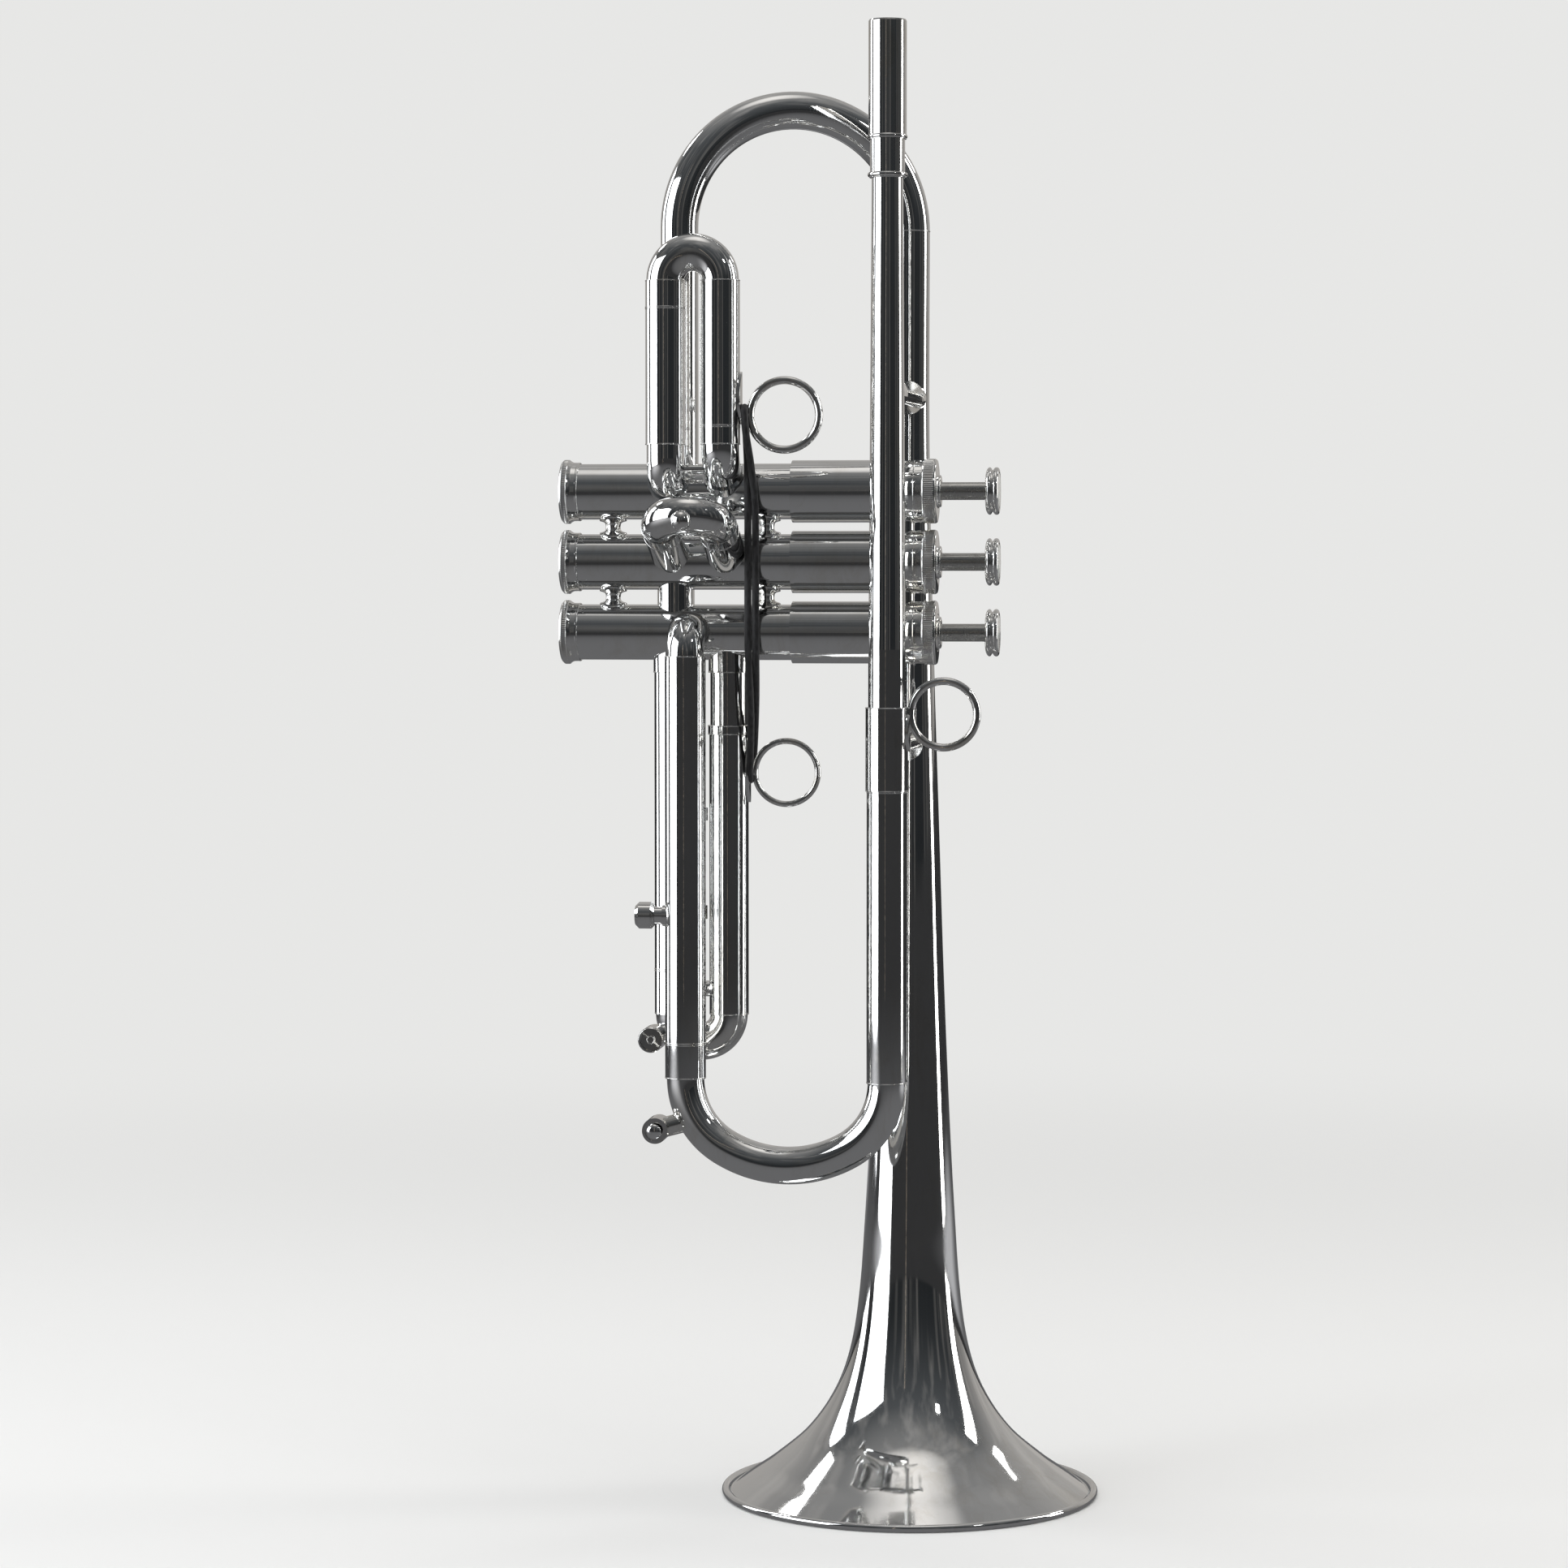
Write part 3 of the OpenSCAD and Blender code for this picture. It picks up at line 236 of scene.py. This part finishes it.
class Shape:
    """Vertices and faces of one piece, built up part by part, in millimetres."""

    def __init__(self):
        self.verts = []
        self.faces = []

    def grid(self, rows, wrap_rows=False, cap=False):
        """A skin over rows of points that each run round once."""
        base = len(self.verts)
        count = len(rows[0])
        for row in rows:
            self.verts.extend(row)
        last = len(rows) if wrap_rows else len(rows) - 1
        for i in range(last):
            a = base + i * count
            b = base + (i + 1) % len(rows) * count
            for k in range(count):
                k2 = (k + 1) % count
                self.faces.append((a + k, a + k2, b + k2, b + k))
        if cap:
            self.faces.append(tuple(base + k for k in reversed(range(count))))
            top = base + (len(rows) - 1) * count
            self.faces.append(tuple(top + k for k in range(count)))
        return self

    def lathe(self, profile, place, sides, closed=True, shift=None):
        """Turns (radius, height) points round +Z of the matrix place. shift(angle, i) adds to a radius."""
        rows = []
        for i, (radius, height) in enumerate(profile):
            row = []
            for k in range(sides):
                angle = TURN * k / sides
                r = radius + (shift(angle, i) if shift else 0)
                row.append(place @ Vector((r * math.cos(angle), r * math.sin(angle), height)))
            rows.append(row)
        return self.grid(rows, wrap_rows=closed, cap=not closed)

    def sweep(self, points, radius, sides):
        """A round rod along a path of points."""
        rows = []
        side = None
        for i, point in enumerate(points):
            ahead = points[min(i + 1, len(points) - 1)]
            behind = points[max(i - 1, 0)]
            along = (ahead - behind).normalized()
            if side is None:
                side = along.orthogonal().normalized()
            side = (side - along * side.dot(along)).normalized()
            up = along.cross(side)
            rows.append([point + side * x + up * y for x, y in circle(radius, sides)])
        return self.grid(rows, cap=True)

    def make(self, name, material, body, slot, crease=35):
        return piece(name, self.verts, self.faces, material, body, crease)


def at(x, y, z):
    return Matrix.Translation((x, y, z))


def along_x(n):
    """The frame of valve n, with +Z turned into +X."""
    return at(0, VALVE_Y, VALVE_Z[n]) @ Matrix.Rotation(math.pi / 2, 4, "Y")


def rounded(profile, radius):
    """Rounds every corner of a closed profile, but for those on its axis."""
    on_axis = 0.01
    longest_share = 0.45
    steps = 3
    out = []
    count = len(profile)
    for i, corner in enumerate(profile):
        c = Vector(corner)
        a = Vector(profile[i - 1]) - c
        b = Vector(profile[(i + 1) % count]) - c
        size = min(radius, a.length * longest_share, b.length * longest_share)
        if size < on_axis or c.x < on_axis:
            out.append(tuple(c))
            continue
        p = c + a.normalized() * size
        q = c + b.normalized() * size
        for s in range(steps + 1):
            t = s / steps
            out.append(tuple(p * (1 - t) ** 2 + c * (2 * t * (1 - t)) + q * t ** 2))
    return out


# The radius of a turned profile's points on its axis
AXIS_R = 0.001


# ---------------------------------------------------------------- valve caps
KNURLS = 96
KNURL_DEPTH = 0.16
KNURL_MIN_R = 10.2
LONG_EDGE = 1.2
OUTSIDE_R = 9


def knurl(angle):
    return KNURL_DEPTH * (abs(math.sin(angle * KNURLS / 2)) - 1)


def cap_set(name, node, profile, knurled):
    """Three caps, each a closed profile with fine knurling between two heights."""
    shape = Shape()
    dense = []
    outline = rounded(profile, 0.22)
    for i, a in enumerate(outline):
        b = outline[(i + 1) % len(outline)]
        dense.append(a)
        if abs(a[1] - b[1]) > LONG_EDGE and min(a[0], b[0]) > OUTSIDE_R:
            dense.extend([tuple(Vector(a).lerp(Vector(b), t)) for t in (0.06, 0.12, 0.88, 0.94)])
    low, high = knurled
    inside = [low < h < high and r > KNURL_MIN_R for r, h in dense]
    for n in range(3):
        shape.lathe(dense, along_x(n), KNURLS * 4,
                    shift=lambda angle, i: knurl(angle) if inside[i] else 0)
    obj = shape.make(name, TURNED, "horn", "bright_silver", 40)
    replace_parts(obj, node)


cap_set("top_caps_knurled", "top_caps",
        [(3.0, 8.0), (9.65, 8.0), (9.65, 3.6), (10.15, 3.6), (10.2, 6.7), (10.5, 6.95), (10.5, 10.4),
         (10.1, 11.0), (6.3, 11.25), (5.6, 11.2), (5.2, 11.6), (5.2, 12.1), (4.8, 12.3), (3.0, 12.3)],
        (7.1, 10.3))
cap_set("bottom_caps_knurled", "bottom_caps",
        [(1.5, -112.5), (9.7, -112.5), (10.5, -111.7), (10.5, -110.15), (10.2, -110.0), (9.6, -108.85),
         (9.55, -107.3), (9.6, -107.1), (9.6, -106.6), (9.15, -106.5), (9.15, -110.8), (1.5, -110.8)],
        (-111.75, -110.2))


# ---------------------------------------------------------------- finger buttons
def button(n):
    """A finger button with a turned groove, and its domed pearl inlay."""
    name = str(n + 1)
    place = along_x(n)
    shape = Shape()
    outline = [(2.9, 26.7), (4.2, 26.7), (6.4, 26.95), (7.3, 27.35), (7.75, 27.9), (7.6, 28.45),
               (7.0, 28.75), (6.7, 29.0), (7.0, 29.3), (7.55, 29.65), (7.75, 30.2), (7.6, 30.8),
               (7.15, 31.15), (6.4, 31.2), (6.05, 31.1), (6.05, 30.1), (AXIS_R, 30.1), (AXIS_R, 29.5),
               (2.9, 29.5)]
    shape.lathe(rounded(outline, 0.3), place, 96)
    obj = shape.make("finger_button_turned_" + name, TURNED, "valve_" + name, "bright_silver", 60)
    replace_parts(obj, "finger_button_" + name)
    dome = Shape()
    outline = [(AXIS_R, 30.12), (6.0, 30.12), (6.0, 30.95), (5.8, 31.12), (5.0, 31.3), (3.5, 31.42),
               (1.8, 31.48), (AXIS_R, 31.5)]
    dome.lathe(outline, place, 64, closed=False)
    obj = dome.make("button_inlay_domed_" + name, PEARL, "valve_" + name, "pearl", 60)
    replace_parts(obj, "button_inlay_" + name)


for n in range(3):
    button(n)


# ---------------------------------------------------------------- valve springs
SPRING_LOW, SPRING_HIGH = -30.5, 2.5
SPRING_R, SPRING_WIRE = 5.7, 0.5
SPRING_TURNS = 8
SPRING_STEPS = 16
CLOSED_PITCH = 2.1 * SPRING_WIRE


def coil_spring(n):
    """A spring with closed end turns, which stands on the guide and is squeezed by the barrel's top."""
    open_turns = SPRING_TURNS - 2
    pitch = (SPRING_HIGH - SPRING_LOW - 2 * SPRING_WIRE - 2 * CLOSED_PITCH) / open_turns
    place = along_x(n)
    path = []
    for i in range(SPRING_TURNS * SPRING_STEPS + 1):
        turn = i / SPRING_STEPS
        opened = min(max(turn - 1, 0), open_turns)
        rise = CLOSED_PITCH * (turn - opened) + pitch * opened
        angle = TURN * turn
        path.append(place @ Vector((SPRING_R * math.cos(angle), SPRING_R * math.sin(angle),
                                    SPRING_LOW + SPRING_WIRE + rise)))
    name = str(n + 1)
    spring = Shape().sweep(path, SPRING_WIRE, 8)
    spring = spring.make("valve_spring_coiled_" + name, WIRE, "horn", "spring_steel")
    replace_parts(spring, "valve_spring_" + name)
    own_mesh(spring)


for n in range(3):
    coil_spring(n)


# ---------------------------------------------------------------- braces between the casings
FLANGE_MIN_R = 3.2
HALF_GAP = 0.05
BRACE_X = (-95.8, -44.9)
BAR_X = 0.5
SPOOL = [(0.6, 0.03), (4.4, 0.03), (4.5, 0.25), (4.35, 0.55), (3.6, 0.75), (3.0, 0.95), (2.6, 1.25),
         (2.45, 1.7), (2.4, 2.3)]
BAR = [(0.5, 0.03), (3.0, 0.03), (3.0, 0.6), (3.0, 2.3)]


def saddle(shape, x, z_low, z_high, outline, sides=48):
    """A spool between two casings, its flanges lying on both. outline is (radius, lift off the casing)."""
    middle = (z_low + z_high) / 2
    rows = []
    for sign in (-1, 1):
        axis_z = z_low if sign < 0 else z_high
        half = []
        for radius, lift in outline:
            row = []
            for k in range(sides):
                angle = TURN * k / sides
                y = radius * math.sin(angle)
                skin = axis_z - sign * (math.sqrt(CASING_R ** 2 - y * y) + lift)
                level = axis_z - sign * (CASING_R + lift)
                z = skin if radius > FLANGE_MIN_R else (skin + level * 3) / 4
                z = min(z, middle - HALF_GAP) if sign < 0 else max(z, middle + HALF_GAP)
                row.append((x + radius * math.cos(angle), VALVE_Y + y, z))
            half.append(row)
        rows += half if sign < 0 else half[::-1]
    shape.grid(rows, cap=True)


braces = Shape()
for high, low in zip(VALVE_Z, VALVE_Z[1:]):
    for x in BRACE_X:
        saddle(braces, x, low, high, SPOOL)
    saddle(braces, BAR_X, low, high, BAR)
brace_piece = braces.make("casing_braces_waisted", TURNED, "horn", "bright_silver", 50)
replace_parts(brace_piece, "casing_braces")


# ---------------------------------------------------------------- bell
def flare(steps):
    """(radius, height) of the bell's outside, by the same cubics as the CAD but finer."""
    def slope(i):
        low, high = BELL[max(i - 1, 0)], BELL[min(i + 1, len(BELL) - 1)]
        return (high[1] - low[1]) / (high[0] - low[0])
    out = []
    for i in range(len(BELL) - 1):
        (z0, r0), (z1, r1) = BELL[i], BELL[i + 1]
        h = z1 - z0
        for k in range(steps):
            t = k / steps
            out.append(((2 * t ** 3 - 3 * t ** 2 + 1) * r0 + (t ** 3 - 2 * t ** 2 + t) * h * slope(i)
                        + (3 * t ** 2 - 2 * t ** 3) * r1 + (t ** 3 - t ** 2) * h * slope(i + 1), z0 + h * t))
    out.append((BELL[-1][1], BELL[-1][0]))
    return out


BELL_OUT = flare(12)
BELL_WALL = 0.6
BELL_SIDES = 192
RIM_R, RIM_Z, RIM_WIRE = 61.6, 1.1, 1.2
outer = [(r, z) for r, z in BELL_OUT if z > RIM_Z]
wall = [(r - BELL_WALL, z) for r, z in reversed(outer)]
bell = Shape().lathe(outer + wall, Matrix.Identity(4), BELL_SIDES)
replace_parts(bell.make("bell_spun", SILVER, "horn", "silver_plate", 50), "bell")
wire = [(r, max(z, 0)) for r, z in circle(RIM_WIRE, 24, (RIM_R, RIM_Z))]
rim = Shape().lathe(wire, Matrix.Identity(4), BELL_SIDES)
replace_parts(rim.make("bell_rim_rolled", SILVER, "horn", "bright_silver", 60), "bell_rim_wire")


# ---------------------------------------------------------------- joint lines
BEAD = 0.2
FINE_BEAD = 0.14


def bead_ring(shape, place, radius, wire, sides=64):
    """A thin ring of solder round a tube."""
    shape.lathe(circle(wire, 10, (radius, 0)), place, sides)


# Each line is (x, y, z, radius of the ring)
LINES = {
    "horn": [(*LEADPIPE, 264.2, 6.8), (*LEADPIPE, 237.6, 6.75), (*LEADPIPE, 433.4, 5.6), (0, 0, 420, 6.1),
             (*FIRST_LEFT, 349.1, 6.4), (*FIRST_LEFT, 392.8, 6.4), (*FIRST_RIGHT, 349.1, 6.4),
             (*FIRST_RIGHT, 354.6, 6.4), (*MAIN_LEG, 280.4, 6.6), (*MAIN_LEG, 154.9, 6.6),
             (*THIRD_LEFT, 275, 6.65), (*THIRD_RIGHT, 275, 6.65), (*THIRD_LEFT, 177.3, 6.4)],
    "first_slide": [(*FIRST_LEFT, 393.3, 6.4), (*FIRST_LEFT, 401.8, 6.35), (*FIRST_RIGHT, 355.1, 6.4),
                    (*FIRST_RIGHT, 401.8, 6.35)],
    "third_slide": [(*THIRD_RIGHT, 257.4, 6.8), (*THIRD_RIGHT, 254.7, 6.8), (*THIRD_LEFT, 176.7, 6.4),
                    (*THIRD_LEFT, 162.7, 6.35), (*THIRD_RIGHT, 162.7, 6.35)],
    "main_slide": [(*LEADPIPE, 237.1, 6.4), (*LEADPIPE, 143.5, 6.4), (*MAIN_LEG, 154.3, 6.6),
                   (*MAIN_LEG, 143.5, 6.55)],
}
for body, places in LINES.items():
    rings = Shape()
    for x, y, z, radius in places:
        bead_ring(rings, at(x, y, z), radius, BEAD)
    rings.make(body + "_joint_lines", TURNED, body, "silver_plate", 60)


def second_frame(x, along):
    """The second slide's frame, at x and along mm out from the valve's axis."""
    tilt = Matrix.Rotation(math.pi / 2 - SECOND_TILT, 4, "X")
    return at(x, VALVE_Y, VALVE_Z[1]) @ tilt @ at(0, 0, along)


def second_lines(name, body, places):
    """Rings on both legs of the second slide. places is (distance along the leg, radius)."""
    rings = Shape()
    for x in SECOND_LEGS_X:
        for along, radius in places:
            bead_ring(rings, second_frame(x, along), radius, FINE_BEAD)
    rings.make(name, TURNED, body, "silver_plate", 60)


second_lines("second_fixed_joint_lines", "horn", [(25.3, 6.4)])
second_lines("second_slide_joint_lines", "second_slide", [(25.75, 6.4), (30.9, 6.35)])


# ---------------------------------------------------------------- elastic band
def smooth_path(points, steps=8):
    """A Catmull-Rom curve through the points."""
    out = []
    ends = [points[0]] + list(points) + [points[-1]]
    for i in range(1, len(ends) - 2):
        a, b, c, d = (Vector(q) for q in ends[i - 1:i + 3])
        for k in range(steps):
            t = k / steps
            out.append(0.5 * (2 * b + (c - a) * t + (2 * a - 5 * b + 4 * c - d) * t ** 2
                              + (3 * b - 3 * c + d - a) * t ** 3))
    out.append(Vector(points[-1]))
    return out


BAND_R = 1.2
BAND_SIDES = 14
# Both halves of the loop run from its middle, round a ring's post and back
LEFT_MIDDLE, RIGHT_MIDDLE = (-49.8, -35.9, 311), (-47.3, -35.9, 311)
UPPER_LOOP = [LEFT_MIDDLE, (-49.8, -35.9, 330), (-49.9, -36.4, 343), (-50.2, -37.1, 352),
              (-50.4, -37.6, 358.4), (-50.3, -39.9, 360.9), (-50.1, -42.4, 358.6), (-49.6, -41.8, 352),
              (-48.6, -38.2, 343), (-47.6, -36.1, 332), (-47.3, -35.9, 322), RIGHT_MIDDLE]
LOWER_LOOP = [LEFT_MIDDLE, (-49.8, -35.9, 292), (-49.7, -35.8, 281), (-49.3, -32.8, 262),
              (-50.0, -28.4, 247), (-50.4, -27.3, 242.2), (-50.4, -25, 239.6), (-50.4, -22.6, 242.2),
              (-49.4, -23.4, 250), (-47.9, -30.5, 266), (-47.3, -35.4, 281), (-47.3, -35.9, 290),
              RIGHT_MIDDLE]


def band_half(name, loop):
    shape = Shape().sweep(smooth_path(loop), BAND_R, BAND_SIDES)
    return shape.make(name, ELASTIC, None, "silver_plate")


top_band = band_half("elastic_band_upper", UPPER_LOOP)
low_band = band_half("elastic_band_lower", LOWER_LOOP)
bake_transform(top_band)
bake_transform(low_band)


# ---------------------------------------------------------------- water keys
# The middle of each barrel's near end, the barrels' length, and the directions their ends face
MAIN_KEY, THIRD_KEY = at(-78.6, -49.5, 126.5), at(-82.6, -32.5, 154.2)
KEY_LENGTH = at(0, 11, 0)
TO_FRONT = Matrix.Rotation(math.pi / 2, 4, "X")
TO_BACK = Matrix.Rotation(-math.pi / 2, 4, "X")
KEY_RIM_R, KEY_RIM_WIRE, KEY_RIM_DROP = 3.78, 0.3, 0.32
CLIP_LOOP_R, CLIP_DROP = 1.2, 0.55
CLIP_ARM = (1.25, 3.6)
CLIP_LOOP_WIRE, CLIP_WIRE = 0.22, 0.24
CLIP_LEAN = math.radians(-40)


def key_trim(name, place, body):
    """The rolled rim of a water key's open end and the wire clip across it, round its middle pin."""
    shape = Shape()
    shape.lathe(circle(KEY_RIM_WIRE, 12, (KEY_RIM_R, -KEY_RIM_DROP)), place, 72)
    shape.lathe(circle(CLIP_LOOP_WIRE, 10, (CLIP_LOOP_R, -CLIP_DROP)), place, 48)
    for side in (-1, 1):
        lean = Vector((side * math.cos(CLIP_LEAN), side * math.sin(CLIP_LEAN), 0))
        drop = Vector((0, 0, -CLIP_DROP))
        inner, outer = (place @ (lean * r + drop) for r in CLIP_ARM)
        shape.sweep([inner.lerp(outer, t / 4) for t in range(5)], CLIP_WIRE, 10)
    shape.make(name, TURNED, body, "bright_silver", 50)


key_trim("third_water_key_clip", THIRD_KEY @ TO_FRONT, "third_slide")
key_trim("main_water_key_clip", MAIN_KEY @ KEY_LENGTH @ TO_BACK, "main_slide")


def key_button(name, node, place, body):
    """A domed push button on its stem."""
    shape = Shape()
    outline = [(AXIS_R, 2.6), (1.2, 2.56), (1.9, 2.35), (2.3, 1.95), (2.4, 1.75), (2.3, 1.6), (1.5, 1.6),
               (1.5, -4.0), (AXIS_R, -4.0)]
    shape.lathe(outline, place, 64)
    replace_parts(shape.make(name, SILVER, body, "bright_silver", 40), node)


key_button("main_key_button_domed", "main_water_key_button", MAIN_KEY @ TO_FRONT, "main_water_button")
key_button("third_key_button_domed", "third_water_key_button", THIRD_KEY @ KEY_LENGTH @ TO_BACK,
           "third_water_button")


# ---------------------------------------------------------------- camera
CAMERA_AT = (0.133, -1.428, 0.309)
CAMERA_WAY = Vector((-0.1219, 0.9925, 0)).normalized()
CAMERA_DIP = math.atan(0.05)
SENSOR_MM, LENS_MM = 36, 99.13
camera = bpy.data.objects.new("camera", bpy.data.cameras.new("camera"))
bpy.context.scene.collection.objects.link(camera)
camera.data.lens = LENS_MM
camera.data.sensor_width = SENSOR_MM
camera.location = CAMERA_AT
look = CAMERA_WAY * math.cos(CAMERA_DIP) + Vector((0, 0, -math.sin(CAMERA_DIP)))
camera.rotation_mode = "QUATERNION"
camera.rotation_quaternion = look.to_track_quat("-Z", "Y")
camera.data.clip_start = 0.05
camera.data.clip_end = 50
bpy.context.scene.camera = camera
bpy.context.scene.view_settings.view_transform = "Standard"


# ---------------------------------------------------------------- lights
MIDDLE, FLARE, BASE = (0, 0, 0.3), (0, 0, 0.05), (0, 0, 0)
COOL, SKY = (0.95, 0.97, 1.0), (0.9, 0.95, 1.0)
WARM_WHITE, AMBER = (1.0, 0.99, 0.97), (1.0, 0.8, 0.6)


def panel(name, place, target, size, power, colour=(1, 1, 1)):
    """A flat light at a place, in metres, turned to a target. size is (width, height)."""
    data = bpy.data.lights.new(name, "AREA")
    data.shape = "RECTANGLE"
    data.size, data.size_y = size
    data.energy = power
    data.color = colour
    obj = bpy.data.objects.new(name, data)
    obj.location = place
    direction = Vector(target) - Vector(place)
    obj.rotation_mode = "QUATERNION"
    obj.rotation_quaternion = direction.to_track_quat("-Z", "Y")
    bpy.context.scene.collection.objects.link(obj)
    return obj


panel("light_left", (-1.26, -0.61, 0.5), MIDDLE, (1.1, 1.3), 12, COOL)
panel("light_left_far", (-1.35, 0.4, 0.5), MIDDLE, (0.4, 1.3), 4.5, COOL)
panel("light_right", (1.25, 0.3, 0.5), MIDDLE, (0.28, 1.4), 7, WARM_WHITE)
panel("light_window", (-1.22, -1.05, 0.9), FLARE, (0.22, 0.3), 1.2, SKY)
panel("light_spot_right", (1.1, -0.79, 1.24), FLARE, (0.14, 0.14), 0.5)
panel("light_spot_back", (1.0, 1.0, 1.14), FLARE, (0.2, 0.2), 0.9)
panel("light_spot_left", (-1.03, 0.67, 1.33), FLARE, (0.3, 0.22), 1.2)
panel("light_edge", (-0.12, -1.75, 0.4), MIDDLE, (0.02, 1.5), 0.03, AMBER)
panel("light_top", (0, -0.2, 2.2), BASE, (2.4, 2.4), 40).visible_glossy = False


# ---------------------------------------------------------------- background
# The pale tone of the background and of the floor far off
PALE = (0.80, 0.80, 0.79, 1)


def world_ramp(tree, stops, source):
    """A colour ramp over a value from -1 to 1. stops is (place, grey, warmth)."""
    span = tree.nodes.new("ShaderNodeMapRange")
    span.inputs["From Min"].default_value = -1
    ramp = tree.nodes.new("ShaderNodeValToRGB")
    while len(ramp.color_ramp.elements) < len(stops):
        ramp.color_ramp.elements.new(0.5)
    for element, (place, grey, warm) in zip(ramp.color_ramp.elements, stops):
        element.position = place
        element.color = (grey * (1 + warm), grey, grey * (1 - warm), 1)
    tree.links.new(source, span.inputs["Value"])
    tree.links.new(span.outputs[0], ramp.inputs["Fac"])
    return ramp.outputs["Color"]


def world_add(tree, a, b):
    mix = tree.nodes.new("ShaderNodeMix")
    mix.data_type = "RGBA"
    mix.blend_type = "ADD"
    mix.inputs["Factor"].default_value = 1
    tree.links.new(a, mix.inputs["A"])
    tree.links.new(b, mix.inputs["B"])
    return mix.outputs["Result"]


def soft_bands(tree, direction):
    """Faint upright bands of light, as of a room's walls."""
    stretch = tree.nodes.new("ShaderNodeMapping")
    stretch.inputs["Scale"].default_value = (2.6, 2.6, 0.25)
    bands = tree.nodes.new("ShaderNodeTexNoise")
    bands.inputs["Scale"].default_value = 2.2
    bands.inputs["Detail"].default_value = 2
    tree.links.new(direction, stretch.inputs["Vector"])
    tree.links.new(stretch.outputs[0], bands.inputs["Vector"])
    soft = tree.nodes.new("ShaderNodeValToRGB")
    soft.color_ramp.elements[0].position = 0.48
    soft.color_ramp.elements[0].color = (0, 0, 0, 1)
    soft.color_ramp.elements[1].position = 0.72
    soft.color_ramp.elements[1].color = (0.085, 0.08, 0.075, 1)
    tree.links.new(bands.outputs["Fac"], soft.inputs["Fac"])
    return soft.outputs["Color"]


def studio_world():
    """Pale to the camera. What the metal mirrors is a dim room, lighter overhead and behind the object."""
    world = bpy.data.worlds.new("studio")
    bpy.context.scene.world = world
    world.use_nodes = True
    tree = world.node_tree
    tree.nodes.clear()
    direction = tree.nodes.new("ShaderNodeTexCoord").outputs["Generated"]
    split = tree.nodes.new("ShaderNodeSeparateXYZ")
    tree.links.new(direction, split.inputs[0])
    height_stops = [(0.5, 0.016, -0.1), (0.85, 0.075, -0.06), (0.97, 0.2, 0.0), (1.0, 0.85, 0.03)]
    behind_stops = [(0.5, 0.0, 0), (0.62, 0.03, 0.03), (0.9, 0.28, 0.05), (1.0, 0.34, 0.05)]
    height = world_ramp(tree, height_stops, split.outputs["Z"])
    behind = world_ramp(tree, behind_stops, split.outputs["Y"])
    room = tree.nodes.new("ShaderNodeBackground")
    room_light = world_add(tree, world_add(tree, height, behind), soft_bands(tree, direction))
    tree.links.new(room_light, room.inputs["Color"])
    seen = tree.nodes.new("ShaderNodeBackground")
    seen.inputs["Color"].default_value = PALE
    ray = tree.nodes.new("ShaderNodeLightPath")
    mixer = tree.nodes.new("ShaderNodeMixShader")
    out = tree.nodes.new("ShaderNodeOutputWorld")
    tree.links.new(ray.outputs["Is Camera Ray"], mixer.inputs[0])
    tree.links.new(room.outputs[0], mixer.inputs[1])
    tree.links.new(seen.outputs[0], mixer.inputs[2])
    tree.links.new(mixer.outputs[0], out.inputs["Surface"])


studio_world()


# ---------------------------------------------------------------- floor
FLOOR_Z = -0.0002
FLOOR_RINGS = (0.3, 0.8, 2.0, 6.0, 20.0)
FLOOR_SIDES = 96
# Pools of light that the metal mirrors off the floor: middle, radius in metres, strength
POOLS = (((-1.0, -0.5, 0), 0.75, 16), ((0.85, 0.45, 0), 0.6, 12), ((-0.3, 1.0, 0), 0.5, 7))
POOL_CORE = 0.1


def blend_shaders(m, factor, a, b):
    """Shader a where factor is 0, shader b where it is 1."""
    node = m.add("ShaderNodeMixShader")
    m.join(factor, node.inputs[0])
    m.join(a, node.inputs[1])
    m.join(b, node.inputs[2])
    return node.outputs[0]


def distance_from(m, spot):
    node = m.add("ShaderNodeVectorMath", operation="DISTANCE")
    node.inputs[1].default_value = spot
    m.join(m.place, node.inputs[0])
    return node.outputs["Value"]


def floor_material():
    """Pale, fading into the background. The metal mirrors it as a dim floor with pools of light."""
    m = Nodes("pale_floor")
    m.set(Base_Color=(0.78, 0.78, 0.77, 1), Roughness=0.6)
    away = distance_from(m, (0, 0, 0))
    far = m.add("ShaderNodeEmission")
    far.inputs["Color"].default_value = PALE
    plain = blend_shaders(m, m.span(away, 0.25, 1.3), m.bsdf.outputs[0], far.outputs[0])
    dim = m.add("ShaderNodeEmission")
    dim.inputs["Color"].default_value = (0.030, 0.030, 0.031, 1)
    strength = m.span(away, 1.9, 0.15, 1.0, 4.4)
    for spot, radius, power in POOLS:
        pool = m.span(distance_from(m, spot), radius, POOL_CORE, 0.0, power)
        strength = m.maths("ADD", strength, pool)
    m.join(strength, dim.inputs["Strength"])
    mirrored = m.add("ShaderNodeLightPath").outputs["Is Glossy Ray"]
    m.join(blend_shaders(m, mirrored, plain, dim.outputs[0]), m.out.inputs["Surface"])
    return m.mat


floor_mesh = bpy.data.meshes.new("floor")
floor_verts = [(x, y, FLOOR_Z) for r in FLOOR_RINGS for x, y in circle(r, FLOOR_SIDES)]
floor_faces = [tuple(range(FLOOR_SIDES))]
for i in range(len(FLOOR_RINGS) - 1):
    for k in range(FLOOR_SIDES):
        a, b = i * FLOOR_SIDES + k, i * FLOOR_SIDES + (k + 1) % FLOOR_SIDES
        floor_faces.append((a, a + FLOOR_SIDES, b + FLOOR_SIDES, b))
floor_mesh.from_pydata(floor_verts, [], floor_faces)
floor_mesh.materials.append(floor_material())
floor = bpy.data.objects.new("floor", floor_mesh)
bpy.context.scene.collection.objects.link(floor)
